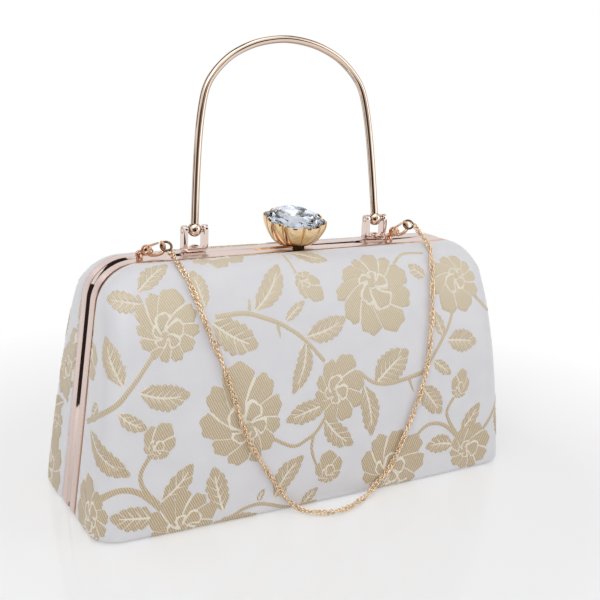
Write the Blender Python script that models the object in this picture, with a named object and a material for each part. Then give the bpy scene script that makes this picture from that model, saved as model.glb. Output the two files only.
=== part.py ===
# Evening box clutch: two padded half shells in metal frames, hinged along the bottom,
# with a bow handle, a jewelled tilting clasp and a fine twisted chain on snap clasps.
# Metres, +X to the right, +Y to the back, +Z up. The seam plane is SEAM_Y behind the origin.

import math

import bmesh
import bpy
from mathutils import Matrix, Vector

MM = 0.001

# Body of the bag
WIDTH_BOTTOM = 200 * MM
WIDTH_TOP = 177.6 * MM
HEIGHT = 103 * MM
TOP_CORNER = 15 * MM
FOOT_ROUND = 3 * MM
DOME_DEPTH = 37.5 * MM
DOME_POWER = 2.5
DOME_CROWN = 1.2 * MM
PLAN_CORNER = 10.5 * MM
FIT = 0.3 * MM
OVERCUT = 1 * MM
SEAM_Y = 6.5 * MM

# Walls
FRAME_DEPTH = 8 * MM
FRAME_WALL = 1.2 * MM
FRAME_CHAMFER = 0.7 * MM
COVER_WALL = 1.2 * MM
SHELL_WALL = 1.6 * MM
LINING_WALL = 0.6 * MM
SHELL_RIM = 1.2 * MM
DOME_ANGLES = (0, 10, 20, 30, 42, 54, 66, 78, 86)
FOOT_ANGLES = (0, 45, 90)
PLAN_ANGLES = (0, 30, 60, 90)
FRONT_STEPS = 3

# Bottom hinge
HINGE_Z = 1.4 * MM
KNUCKLE_RADIUS = 1.3 * MM
HINGE_PIN_RADIUS = 0.6 * MM
HINGE_LENGTH = 190 * MM
OPEN_ANGLE = 70
KNUCKLE_COUNT = 7
LEAF_REACH = 7 * MM
LEAF_THICK = 0.8 * MM

# Bow handle and its clevises
CLEVIS_X = 44.25 * MM
CLEVIS_Y = 4 * MM
CLEVIS_WIDTH = 10.8 * MM
CLEVIS_DEPTH = 4.1 * MM
CLEVIS_EAR = 1.8 * MM
CLEVIS_BASE = 1.5 * MM
CLEVIS_CORNER = 1.8 * MM
PIVOT_RISE = 9 * MM
HANDLE_RISE = 77.1 * MM
HANDLE_TUBE = 1.6 * MM
HANDLE_STEP = 6 * MM
HANDLE_LEAN = 6.6
BALL_RADIUS = 2.9 * MM
PIVOT_PIN_RADIUS = 1.0 * MM
RIVET_RADIUS = 1.0 * MM
RIVET_HEAD = 1.8 * MM
RIVET_HEAD_HIGH = 0.7 * MM
# Right side of the bow, as shares of the half span and of the rise
HANDLE_SHAPE = (
    (1.0, 0.0),
    (0.963, 0.3),
    (0.927, 0.51),
    (0.885, 0.655),
    (0.84, 0.742),
    (0.77, 0.806),
    (0.665, 0.868),
    (0.54, 0.92),
    (0.36, 0.966),
    (0.18, 0.991),
    (0.0, 1.0),
)

# Jewelled clasp
CLASP_PIVOT_Y = -5 * MM
CLASP_PIVOT_DROP = 5 * MM
CLASP_PIN_RADIUS = 0.6 * MM
LEVER_WIDTH = 4.8 * MM
LEVER_THICK = 1.6 * MM
HOOK_REACH = 10.3 * MM
HOOK_DEPTH = 0.6 * MM
HOOK_THICK = 0.8 * MM
HOOK_CLEAR = 0.4 * MM
ARM_DROP = 2.6 * MM
ARM_THICK = 1.0 * MM
CLASP_TILT = 6
PLATE_THICK = 0.8 * MM
HOUSING_HALF = 6.5 * MM
KEEPER_HALF = 5 * MM
NOTCH_DEPTH = 9 * MM
CUP_Y = -1 * MM
CUP_LIFT = 1.6 * MM
CUP_FOOT = 7.4 * MM
CUP_RIM = 12.7 * MM
CUP_HEIGHT = 10.9 * MM
CUP_WALL = 0.8 * MM
CUP_LIP = 2 * MM
CUP_LEAN = 10
CUP_SOCKET = 2 * MM
CUP_LOBES = 8
CUP_TURN = 12
CUP_LOBE_DEPTH = 0.8 * MM
# Outside of the cup, as shares of its flare, its height and the depth of its lobes
CUP_SHAPE = (
    (0.0, 0.0, 0.0), (0.25, 0.1, 0.2), (0.46, 0.25, 0.4), (0.73, 0.5, 0.7), (0.92, 0.75, 0.9),
    (1.0, 1.0, 1.0),
)
STONE_GIRDLE = 11.2 * MM
STONE_HIGH = 8.2 * MM
STONE_SINK = 1 * MM
STONE_EDGE = 0.8 * MM

# Chain, its snap clasps, rings and loops
LOOP_FROM_END = 17.8 * MM
LOOP_FROM_CLEVIS = 2.75 * MM
LOOP_Y = -4 * MM
LOOP_RISE = 2.3 * MM
LOOP_HALF = 1.9 * MM
LOOP_WIRE = 0.55 * MM
EYE_RADIUS = 1.3 * MM
EYE_WIRE = 0.45 * MM
SNAP_LENGTH = 10.5 * MM
SNAP_WIRE = 0.6 * MM
SNAP_HALF = 2.3 * MM
SNAP_BLOCK = 1.9 * MM
SNAP_BLOCK_HIGH = 2.7 * MM
SNAP_BLOCK_THICK = 2 * MM
SNAP_TILT_LEFT = 12
SNAP_TILT_RIGHT = 25
TRIGGER_THICK = 0.7 * MM
RING_RADIUS = 2.6 * MM
RING_WIRE = 0.5 * MM
RING_TIP = 45
CHAIN_WIDE = 2.0 * MM
CHAIN_THICK = 1.2 * MM
CHAIN_TWIST = 11.5 * MM
CHAIN_STEP = 1.1 * MM
CHAIN_SIDES = 6

RIM_Y = FRAME_DEPTH + FIT
LOOP_LEFT_X = -(WIDTH_TOP / 2 - LOOP_FROM_END)
LOOP_RIGHT_X = CLEVIS_X + LOOP_FROM_CLEVIS
PIVOT_Z = HEIGHT + PIVOT_RISE
LEAF_Z = FRAME_WALL + FIT
CLASP_Z = HEIGHT - CLASP_PIVOT_DROP
HOUSING_TOP = HEIGHT - FRAME_WALL - FIT
CUP_Z = HEIGHT + CUP_LIFT
CUP_FLOOR = CUP_Z + CUP_HEIGHT / 2
FRONT = -1
BACK = 1

# The chain's way, where across runs from the left loop (0) to the right one (1). It goes down
# the front cover and up again as (across, share of the height), and between them along the
# floor as (across, distance in front of the cover).
CHAIN_DOWN = (
    (0.102, 0.996), (0.116, 0.951), (0.127, 0.893), (0.146, 0.806), (0.168, 0.728), (0.195, 0.641),
    (0.229, 0.519), (0.263, 0.383), (0.305, 0.282), (0.356, 0.189), (0.403, 0.107), (0.441, 0.049),
)
CHAIN_FLOOR = (
    (0.479, 4.1 * MM), (0.508, 8.1 * MM), (0.551, 11.1 * MM), (0.597, 11.9 * MM),
    (0.648, 10.7 * MM), (0.703, 7.7 * MM), (0.758, 4.4 * MM),
)
CHAIN_UP = (
    (0.809, 0.041), (0.864, 0.097), (0.907, 0.189), (0.953, 0.306), (0.995, 0.417), (1.027, 0.544),
    (1.047, 0.665), (1.062, 0.767), (1.079, 0.859), (1.104, 0.947), (1.120, 0.990),
)


def clear_scene():
    for thing in list(bpy.data.objects):
        bpy.data.objects.remove(thing, do_unlink=True)


def new_collection(name):
    collection = bpy.data.collections.new(name)
    bpy.context.scene.collection.children.link(collection)
    return collection


def make_material(name, colour, metallic, roughness):
    material = bpy.data.materials.new(name)
    material.use_nodes = True
    shader = material.node_tree.nodes["Principled BSDF"]
    shader.inputs["Base Color"].default_value = (*colour, 1.0)
    shader.inputs["Metallic"].default_value = metallic
    shader.inputs["Roughness"].default_value = roughness
    return material


clear_scene()
bag = new_collection("box_clutch")
tools = new_collection("cutters")
satin_gold = make_material("satin_rose_gold", (0.68, 0.54, 0.49), 1.0, 0.35)
mirror_gold = make_material("polished_rose_gold", (0.78, 0.58, 0.48), 1.0, 0.08)
yellow_gold = make_material("yellow_gold", (0.78, 0.46, 0.12), 1.0, 0.12)
steel = make_material("spring_steel", (0.55, 0.55, 0.55), 1.0, 0.3)
brocade = make_material("brocade", (0.65, 0.62, 0.58), 0.0, 0.5)
moulding = make_material("moulded_shell", (0.4, 0.38, 0.36), 0.0, 0.6)
satin = make_material("satin_lining", (0.72, 0.68, 0.64), 0.0, 0.4)
crystal = make_material("cut_crystal", (0.9, 0.93, 0.96), 0.0, 0.02)


def add_empty(name, place, parent=None):
    empty = bpy.data.objects.new(name, None)
    empty.location = place
    empty.parent = parent
    bag.objects.link(empty)
    return empty


# Carriers: the back half is the fixed one, and each moving piece hangs on an empty at its axis
seam = add_empty("seam", (0, SEAM_Y, 0))
hinge_axis = add_empty("case_hinge_axis", (0, 0, HINGE_Z), seam)
handle_axis = add_empty("handle_axis", (0, CLEVIS_Y, PIVOT_Z), seam)
clasp_axis = add_empty("clasp_axis", (0, CLASP_PIVOT_Y, CLASP_Z - HINGE_Z), hinge_axis)


def offset_of(parent):
    """Where a carrier stands in the bag's own frame, from the seam's empty."""
    place = Vector((0, 0, 0))
    while parent is not None and parent is not seam:
        place += parent.location
        parent = parent.parent
    return place


def add_object(name, mesh, material, parent):
    """An object whose mesh is written in the bag's frame, hung on a carrier."""
    mesh.transform(Matrix.Translation(-offset_of(parent)))
    thing = bpy.data.objects.new(name, mesh)
    thing.parent = parent
    mesh.materials.clear()
    mesh.materials.append(material)
    bag.objects.link(thing)
    return thing


def mesh_from(bm, name):
    bmesh.ops.remove_doubles(bm, verts=bm.verts, dist=0.001 * MM)
    bmesh.ops.recalc_face_normals(bm, faces=bm.faces)
    mesh = bpy.data.meshes.new(name)
    bm.to_mesh(mesh)
    bm.free()
    return mesh


def box_mesh(name, low, high):
    bm = bmesh.new()
    bmesh.ops.create_cube(bm, size=1.0)
    size = Vector(high) - Vector(low)
    middle = (Vector(high) + Vector(low)) / 2
    bmesh.ops.scale(bm, vec=size, verts=bm.verts)
    bmesh.ops.translate(bm, vec=middle, verts=bm.verts)
    return mesh_from(bm, name)


def rod_mesh(name, start, end, radius, sides=16):
    """A plain cylinder between two points."""
    start = Vector(start)
    run = Vector(end) - start
    bm = bmesh.new()
    bmesh.ops.create_cone(
        bm, cap_ends=True, segments=sides, radius1=radius, radius2=radius, depth=run.length
    )
    turn = run.to_track_quat("Z", "Y").to_matrix().to_4x4()
    bm.transform(Matrix.Translation(start + run / 2) @ turn)
    return mesh_from(bm, name)


def plate_mesh(name, outline, low, high):
    """A flat outline of (y, z) points, as thick as low to high along X."""
    bm = bmesh.new()
    face = bm.faces.new([bm.verts.new((low, y, z)) for y, z in outline])
    grown = bmesh.ops.extrude_face_region(bm, geom=[face])
    moved = [item for item in grown["geom"] if isinstance(item, bmesh.types.BMVert)]
    bmesh.ops.translate(bm, vec=(high - low, 0, 0), verts=moved)
    return mesh_from(bm, name)


def loft_mesh(name, rings, closed=False):
    """A skin through rings of points; its ends are capped unless the rings close on themselves."""
    bm = bmesh.new()
    rows = [[bm.verts.new(point) for point in ring] for ring in rings]
    count = len(rows[0])
    pairs = list(zip(rows, rows[1:]))
    if closed:
        pairs.append((rows[-1], rows[0]))
    for lower, upper in pairs:
        for k in range(count):
            nxt = (k + 1) % count
            bm.faces.new((lower[k], lower[nxt], upper[nxt], upper[k]))
    if not closed:
        bm.faces.new(rows[0])
        bm.faces.new(rows[-1])
    return mesh_from(bm, name)


def boolean(thing, other, operation):
    step = thing.modifiers.new(other.name, "BOOLEAN")
    step.operation = operation
    step.solver = "EXACT"
    step.object = other
    other.hide_render = True
    other.display_type = "WIRE"
    other.parent = seam


def cut(thing, mesh, operation="DIFFERENCE"):
    """Cut a mesh in the bag's frame from an object, or join it to the object."""
    tool = bpy.data.objects.new(mesh.name, mesh)
    tools.objects.link(tool)
    boolean(thing, tool, operation)


def settle(thing):
    """Turn an object's modifiers into its mesh."""
    bpy.context.view_layer.update()
    shaped = thing.evaluated_get(bpy.context.evaluated_depsgraph_get())
    mesh = bpy.data.meshes.new_from_object(shaped)
    used = [step.object for step in thing.modifiers if step.type == "BOOLEAN"]
    thing.modifiers.clear()
    thing.data = mesh
    for tool in used:
        bpy.data.objects.remove(tool, do_unlink=True)


def smooth(thing, angle=35):
    thing.data.shade_smooth()
    thing.data.set_sharp_from_angle(angle=math.radians(angle))


# Outline and dome of a half, where inset is how far a surface lies inside the outermost one
def levels(inset):
    top = HEIGHT - inset
    foot = max(FOOT_ROUND - inset, FIT)
    heights = [top * math.cos(math.radians(a)) ** 0.8 for a in DOME_ANGLES]
    heights += [inset + foot * (1 - math.sin(math.radians(a))) for a in FOOT_ANGLES]
    return heights


def foot_inset(z, inset):
    foot = max(FOOT_ROUND - inset, FIT)
    low = inset + foot - z
    return foot - math.sqrt(max(foot * foot - low * low, 0)) if low > 0 else 0.0


def half_width(z, inset):
    top = HEIGHT - inset
    taper = (WIDTH_BOTTOM - WIDTH_TOP) / 2 * z / HEIGHT
    width = WIDTH_BOTTOM / 2 - inset - taper - foot_inset(z, inset)
    round_off = TOP_CORNER - inset
    into = z - (top - round_off)
    if into > 0:
        width -= round_off - math.sqrt(max(round_off * round_off - into * into, 0))
    return width


def dome_depth(z, inset):
    share = min(z / (HEIGHT - inset), 1.0)
    bulge = math.sqrt(1 - share ** DOME_POWER)
    return RIM_Y + (DOME_DEPTH - inset - RIM_Y - foot_inset(z, inset)) * bulge


def section(z, inset):
    """Plan of the dome at one height: from the right rim round the front to the left rim."""
    width = half_width(z, inset)
    depth = dome_depth(z, inset)
    swell = (depth - RIM_Y) / (DOME_DEPTH - RIM_Y)
    crown = DOME_CROWN * swell
    corner = PLAN_CORNER - inset
    corner_y = min(corner, 0.8 * (depth - crown - RIM_Y))
    flat = width - corner
    points = [(width, RIM_Y)]
    for angle in PLAN_ANGLES:
        turn = math.radians(angle)
        x = flat + corner * math.cos(turn)
        y = depth - crown - corner_y * (1 - math.sin(turn))
        points.append((x, y))
    for k in range(1, FRONT_STEPS):
        x = flat * (1 - k / FRONT_STEPS)
        points.append((x, depth - crown * (x / flat) ** 2))
    left = [(-x, y) for x, y in reversed(points)]
    return points + [(0.0, depth)] + left


def dome_skin(bm, inset, side, rim_y):
    """One skin of a half, and the loop of its rim."""
    rows = []
    for z in levels(inset):
        rows.append([bm.verts.new((x, side * y, z)) for x, y in section(z, inset)])
    for upper, lower in zip(rows, rows[1:]):
        for k in range(len(upper) - 1):
            bm.faces.new((upper[k], upper[k + 1], lower[k + 1], lower[k]))
    bm.faces.new(rows[-1])
    loop = [row[0] for row in reversed(rows)] + rows[0][1:-1] + [row[-1] for row in rows]
    if rim_y < RIM_Y:
        edge = [bm.verts.new((v.co.x, side * rim_y, v.co.z)) for v in loop]
        for k in range(len(loop)):
            nxt = (k + 1) % len(loop)
            bm.faces.new((loop[k], loop[nxt], edge[nxt], edge[k]))
        loop = edge
    return loop


def half_shell(name, side, inset, wall, rim_y, material, parent):
    bm = bmesh.new()
    outer = dome_skin(bm, inset, side, rim_y)
    inner = dome_skin(bm, inset + wall, side, rim_y)
    for k in range(len(outer)):
        nxt = (k + 1) % len(outer)
        bm.faces.new((outer[k], outer[nxt], inner[nxt], inner[k]))
    thing = add_object(name, mesh_from(bm, name), material, parent)
    smooth(thing)
    return thing


def outline(inset, y):
    """The frame's outline at one inset, as a closed ring of points."""
    heights = levels(inset)
    right = [(half_width(z, inset), z) for z in reversed(heights)]
    top = [(x, heights[0]) for x, _ in section(heights[0], inset)[2:-2]]
    left = [(-x, z) for x, z in reversed(right)]
    return [(x, y, z) for x, z in right + top + left]


def frame_band(name, side, parent):
    lip = FIT / 2
    rings = [
        outline(0, side * FRAME_DEPTH),
        outline(0, side * (lip + FRAME_CHAMFER)),
        outline(FRAME_CHAMFER, side * lip),
        outline(FRAME_WALL, side * lip),
        outline(FRAME_WALL, side * FRAME_DEPTH),
    ]
    band = add_object(name, loft_mesh(name, rings, closed=True), satin_gold, parent)
    reach = WIDTH_BOTTOM / 2 + FIT
    edges_meet = HINGE_Z / math.cos(math.radians(OPEN_ANGLE / 2))
    clear = max(KNUCKLE_RADIUS, edges_meet) + FIT
    cut(band, rod_mesh(name + "_hinge_cut", (-reach, 0, HINGE_Z), (reach, 0, HINGE_Z), clear))
    return band


def make_half(word, side, parent):
    shell_in = COVER_WALL + FIT
    lining_in = shell_in + SHELL_WALL + FIT
    band = frame_band(word + "_frame", side, parent)
    half_shell(word + "_cover", side, 0, COVER_WALL, RIM_Y, brocade, parent)
    shell = half_shell(word + "_shell", side, shell_in, SHELL_WALL, SHELL_RIM, moulding, parent)
    lining = half_shell(word + "_lining", side, lining_in, LINING_WALL, SHELL_RIM, satin, parent)
    leaf_x = HINGE_LENGTH / 2 + FIT
    leaf_y = LEAF_REACH + FIT
    leaf_top = lining_in - FIT / 2
    low = (-leaf_x, -leaf_y, 0)
    cut(shell, box_mesh(word + "_leaf_room", low, (leaf_x, leaf_y, leaf_top)))
    notch_x = HOUSING_HALF + FIT
    hook_travel = HOOK_REACH * math.sin(math.radians(CLASP_TILT))
    notch_low = CLASP_Z - ARM_DROP - ARM_THICK - hook_travel - FIT
    for thing in (shell, lining):
        room = box_mesh(
            thing.name + "_latch_room",
            (-notch_x, -NOTCH_DEPTH, notch_low),
            (notch_x, NOTCH_DEPTH, HEIGHT),
        )
        cut(thing, room)
    return band


def hinge_leaf(name, side, own, parent):
    """One leaf of the bottom hinge: a strip with every second knuckle."""
    half = HINGE_LENGTH / 2
    pitch = (HINGE_LENGTH + FIT) / KNUCKLE_COUNT
    edges = sorted((side * FIT, side * LEAF_REACH))
    low = (-half, edges[0], LEAF_Z)
    high = (half, edges[1], LEAF_Z + LEAF_THICK)
    leaf = add_object(name, box_mesh(name, low, high), satin_gold, parent)
    for k in range(KNUCKLE_COUNT):
        start = -half + k * pitch
        end = start + pitch - FIT
        label = f"{name}_knuckle_{k}"
        if k % 2 == own:
            tube = rod_mesh(label, (start, 0, HINGE_Z), (end, 0, HINGE_Z), KNUCKLE_RADIUS, 12)
            cut(leaf, tube, "UNION")
        else:
            clear = KNUCKLE_RADIUS + FIT
            room = rod_mesh(label, (start - FIT, 0, HINGE_Z), (end + FIT, 0, HINGE_Z), clear, 12)
            cut(leaf, room)
    bore = HINGE_PIN_RADIUS + FIT
    cut(leaf, rod_mesh(name + "_bore", (-half - OVERCUT, 0, HINGE_Z), (half + OVERCUT, 0, HINGE_Z), bore, 12))
    settle(leaf)
    return leaf


def hinge_pin(parent):
    half = HINGE_LENGTH / 2
    mesh = rod_mesh("hinge_pin", (-half, 0, HINGE_Z), (half, 0, HINGE_Z), HINGE_PIN_RADIUS, 12)
    smooth(add_object("hinge_pin", mesh, steel, parent))


def spline_points(points, step):
    """Evenly spaced points on a smooth curve through the given ones."""
    points = [Vector(p) for p in points]
    ends = [2 * points[0] - points[1]] + points + [2 * points[-1] - points[-2]]
    fine = []
    for a, b, c, d in zip(ends, ends[1:], ends[2:], ends[3:]):
        for k in range(12):
            t = k / 12
            fine.append(
                0.5 * (2 * b + (c - a) * t + (2 * a - 5 * b + 4 * c - d) * t * t
                       + (3 * b - a - 3 * c + d) * t * t * t)
            )
    fine.append(points[-1])
    total = sum((q - p).length for p, q in zip(fine, fine[1:]))
    count = max(2, round(total / step))
    spaced = [fine[0]]
    travelled = 0.0
    wanted = total / count
    for p, q in zip(fine, fine[1:]):
        run = (q - p).length
        while travelled + run >= wanted * len(spaced) and len(spaced) < count:
            spaced.append(p.lerp(q, (wanted * len(spaced) - travelled) / run))
        travelled += run
    return spaced + [fine[-1]]


def wire_mesh(name, points, radius, cyclic=False, bevel=2):
    """A round wire along points, as a closed mesh."""
    curve = bpy.data.curves.new(name, "CURVE")
    curve.dimensions = "3D"
    curve.bevel_depth = radius
    curve.bevel_resolution = bevel
    curve.render_resolution_u = 0
    curve.use_fill_caps = not cyclic
    spline = curve.splines.new("POLY")
    spline.points.add(len(points) - 1)
    for slot, point in zip(spline.points, points):
        slot.co = (*point, 1.0)
    spline.use_cyclic_u = cyclic
    guide = bpy.data.objects.new(name + "_guide", curve)
    tools.objects.link(guide)
    bpy.context.view_layer.update()
    shaped = guide.evaluated_get(bpy.context.evaluated_depsgraph_get())
    mesh = bpy.data.meshes.new_from_object(shaped)
    bpy.data.objects.remove(guide, do_unlink=True)
    bm = bmesh.new()
    bm.from_mesh(mesh)
    return mesh_from(bm, name)


def handle():
    lean = math.radians(HANDLE_LEAN)
    right = [(share * CLEVIS_X, rise * HANDLE_RISE) for share, rise in HANDLE_SHAPE]
    bow = right + [(-x, h) for x, h in reversed(right[:-1])]
    route = [
        (x, CLEVIS_Y + h * math.sin(lean), PIVOT_Z + h * math.cos(lean)) for x, h in bow
    ]
    mesh = wire_mesh("handle_bow", spline_points(route, HANDLE_STEP), HANDLE_TUBE, bevel=3)
    bow_object = add_object("handle_bow", mesh, mirror_gold, handle_axis)
    for side in (-1, 1):
        word = "left" if side < 0 else "right"
        bm = bmesh.new()
        bmesh.ops.create_uvsphere(bm, u_segments=16, v_segments=10, radius=BALL_RADIUS)
        middle = Vector((side * CLEVIS_X, CLEVIS_Y, PIVOT_Z))
        bm.transform(Matrix.Translation(middle))
        cut(bow_object, mesh_from(bm, "handle_ball_" + word), "UNION")
        reach = Vector((BALL_RADIUS + OVERCUT, 0, 0))
        bore = PIVOT_PIN_RADIUS + FIT
        cut(bow_object, rod_mesh("ball_bore_" + word, middle - reach, middle + reach, bore))
    settle(bow_object)
    smooth(bow_object)


def clevis(word, side):
    """A U-shaped stand with two ears and a base, the pin that crosses it and the rivet below."""
    x = side * CLEVIS_X
    half = CLEVIS_WIDTH / 2
    low = HEIGHT + FIT
    high = PIVOT_Z + CLEVIS_DEPTH / 2
    front = CLEVIS_Y - CLEVIS_DEPTH / 2
    back = CLEVIS_Y + CLEVIS_DEPTH / 2
    name = "handle_bracket_" + word
    block = box_mesh(name, (x - half, front, low), (x + half, back, high))
    body = add_object(name, block, satin_gold, seam)
    slot = half - CLEVIS_EAR
    gap = box_mesh(
        name + "_slot",
        (x - slot, front - OVERCUT, low + CLEVIS_BASE),
        (x + slot, back + OVERCUT, high + OVERCUT),
    )
    cut(body, gap)
    ring = []
    for k in range(9):
        turn = math.pi * k / 8
        y = CLEVIS_Y + CLEVIS_DEPTH / 2 * math.cos(turn)
        ring.append((y, PIVOT_Z + CLEVIS_DEPTH / 2 * math.sin(turn)))
    side_view = [(front, low - OVERCUT), (back, low - OVERCUT)] + ring
    reach = half + OVERCUT
    cut(body, plate_mesh(name + "_side", side_view, x - reach, x + reach), "INTERSECT")
    bore = PIVOT_PIN_RADIUS + FIT
    start = (x - reach, CLEVIS_Y, PIVOT_Z)
    end = (x + reach, CLEVIS_Y, PIVOT_Z)
    cut(body, rod_mesh(name + "_bore", start, end, bore))
    hole = RIVET_RADIUS + FIT
    top = low + CLEVIS_BASE + OVERCUT
    cut(body, rod_mesh(name + "_hole", (x, CLEVIS_Y, low - OVERCUT), (x, CLEVIS_Y, top), hole))
    settle(body)
    bm = bmesh.new()
    bm.from_mesh(body.data)
    rounded = []
    for edge in bm.edges:
        a, b = (v.co for v in edge.verts)
        along_y = abs(a.y - b.y) > CLEVIS_DEPTH * 0.9
        outer = abs(abs(a.x - x) - half) < FIT / 10 and abs(a.z - low) < FIT / 10
        if along_y and outer:
            rounded.append(edge)
    bmesh.ops.bevel(bm, geom=rounded, offset=CLEVIS_CORNER, segments=4, profile=0.5, affect="EDGES")
    bm.to_mesh(body.data)
    bm.free()
    pin = "handle_pin_" + word
    start = (x - half, CLEVIS_Y, PIVOT_Z)
    end = (x + half, CLEVIS_Y, PIVOT_Z)
    smooth(add_object(pin, rod_mesh(pin, start, end, PIVOT_PIN_RADIUS), mirror_gold, seam))
    rivet(word, x)


def turned_mesh(name, profile, middle, sides=20):
    """A turned solid from (radius, height) pairs, bottom to top, about a vertical axis."""
    rings = []
    for radius, height in profile:
        ring = []
        for k in range(sides):
            turn = 2 * math.pi * k / sides
            x = middle[0] + radius * math.cos(turn)
            ring.append((x, middle[1] + radius * math.sin(turn), height))
        rings.append(ring)
    return loft_mesh(name, rings)


def rivet(word, x):
    seat = HEIGHT + FIT + CLEVIS_BASE + FIT
    profile = [
        (RIVET_RADIUS, HEIGHT - FRAME_WALL),
        (RIVET_RADIUS, seat),
        (RIVET_HEAD, seat),
        (RIVET_HEAD, seat + RIVET_HEAD_HIGH * 0.4),
        (RIVET_HEAD * 0.55, seat + RIVET_HEAD_HIGH),
    ]
    name = "bracket_rivet_" + word
    smooth(add_object(name, turned_mesh(name, profile, (x, CLEVIS_Y), 12), mirror_gold, seam))


def lever_outline():
    """Side view of the lever: stem up through the strip, arm back across the seam, hook at its end."""
    y = CLASP_PIVOT_Y
    z = CLASP_Z
    half = LEVER_THICK / 2
    top = CUP_Z + CUP_SOCKET
    arm = z - ARM_DROP
    end = y + HOOK_REACH
    hook = end - HOOK_THICK
    lift = HOOK_DEPTH + HOOK_CLEAR
    return [
        (y - half, top), (y - half, z + half), (y - LEVER_THICK, z),
        (y - LEVER_THICK, z - half), (y + half, arm - ARM_THICK),
        (end, arm - ARM_THICK), (end, arm + lift), (hook, arm + lift),
        (hook, arm), (y + LEVER_THICK + half, arm), (y + LEVER_THICK, z + half),
        (y + half, z + LEVER_THICK), (y + half, top),
    ]


def clasp():
    y = CLASP_PIVOT_Y
    half = LEVER_WIDTH / 2
    blank = plate_mesh("clasp_lever", lever_outline(), -half, half)
    lever = add_object("clasp_lever", blank, steel, clasp_axis)
    bore = CLASP_PIN_RADIUS + FIT
    reach = half + OVERCUT
    hole = rod_mesh("lever_bore", (-reach, y, CLASP_Z), (reach, y, CLASP_Z), bore, 12)
    cut(lever, hole)
    settle(lever)
    housing(y, half)
    clasp_spring(y)
    keeper(y)
    cup(y, half)
    stone()


def stem_slot(name, low, high):
    """Room for the stem, wider at the back by what it travels as the clasp tilts."""
    half = LEVER_WIDTH / 2 + FIT
    travel = (high - CLASP_Z) * math.sin(math.radians(CLASP_TILT))
    front = CLASP_PIVOT_Y - LEVER_THICK / 2 - FIT
    back = CLASP_PIVOT_Y + LEVER_THICK / 2 + travel + FIT
    return box_mesh(name, (-half, front, low), (half, back, high))


def housing(y, half):
    """The plate under the front strip, with two cheeks that hold the lever's pin."""
    cheek_in = half + FIT
    cheek_out = cheek_in + PLATE_THICK
    front = -FRAME_DEPTH + FIT
    plate_low = HOUSING_TOP - PLATE_THICK
    low = (-HOUSING_HALF, front, plate_low)
    high = (HOUSING_HALF, -SHELL_RIM, HOUSING_TOP)
    body = add_object("clasp_housing", box_mesh("clasp_housing", low, high), steel, hinge_axis)
    for side in (-1, 1):
        near, far = sorted((side * cheek_in, side * cheek_out))
        low = (near, y - LEVER_THICK, CLASP_Z - LEVER_THICK)
        high = (far, y + LEVER_THICK, HOUSING_TOP - PLATE_THICK / 2)
        cut(body, box_mesh(f"cheek_{side}", low, high), "UNION")
    cut(body, stem_slot("housing_slot", plate_low - OVERCUT, HOUSING_TOP + OVERCUT))
    bore = CLASP_PIN_RADIUS + FIT
    reach = cheek_out + OVERCUT
    cut(body, rod_mesh("housing_bore", (-reach, y, CLASP_Z), (reach, y, CLASP_Z), bore, 12))
    settle(body)
    end = cheek_out + FIT
    pin = rod_mesh("clasp_pin", (-end, y, CLASP_Z), (end, y, CLASP_Z), CLASP_PIN_RADIUS, 12)
    smooth(add_object("clasp_pin", pin, steel, hinge_axis))


def clasp_spring(y):
    """A bent leaf under the housing that presses the lever back."""
    half = LEVER_WIDTH / 2 - 2 * FIT
    leaf = FIT
    top = HOUSING_TOP - PLATE_THICK - FIT
    front = -FRAME_DEPTH + FIT
    tip_y = y - FIT
    tip_z = CLASP_Z - ARM_DROP - FIT * 2
    outer = [
        (y - LEVER_THICK / 2 - 2 * FIT, top), (front, top), (front, tip_z + leaf), (tip_y, tip_z - leaf),
    ]
    inner = [
        (tip_y, tip_z), (front + leaf, tip_z + 2 * leaf), (front + leaf, top - leaf),
        (y - LEVER_THICK / 2 - 2 * FIT, top - leaf),
    ]
    mesh = plate_mesh("clasp_spring", outer + inner, -half, half)
    add_object("clasp_spring", mesh, steel, hinge_axis)


def keeper(y):
    """The catch plate under the back strip, with a tab that the hook grips from behind."""
    plate_low = HOUSING_TOP - PLATE_THICK
    arm = CLASP_Z - ARM_DROP
    hook = y + HOOK_REACH - HOOK_THICK
    tab_back = hook - FIT
    tab_low = arm + HOOK_CLEAR
    back = FRAME_DEPTH - FIT
    view = [
        (SHELL_RIM, HOUSING_TOP), (SHELL_RIM, plate_low), (tab_back - PLATE_THICK, plate_low),
        (tab_back - PLATE_THICK, tab_low), (tab_back, tab_low), (tab_back, plate_low),
        (back, plate_low), (back, HOUSING_TOP),
    ]
    mesh = plate_mesh("clasp_keeper", view, -KEEPER_HALF, KEEPER_HALF)
    add_object("clasp_keeper", mesh, steel, seam)


def lobed_ring(radius, z, share, sides=48, shift=0.0):
    """A ring with lobes. It leans to the front, and the more the higher it stands."""
    lean = math.tan(math.radians(CUP_LEAN)) * (z - CUP_Z) / CUP_HEIGHT
    ring = []
    for k in range(sides):
        turn = math.radians(CUP_TURN) + 2 * math.pi * (k + shift) / sides
        phase = CUP_LOBES * (turn - math.radians(CUP_TURN))
        wave = radius + CUP_LOBE_DEPTH * share * math.cos(phase)
        y = wave * math.sin(turn)
        ring.append((wave * math.cos(turn), CUP_Y + y, z + lean * y))
    return ring


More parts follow.
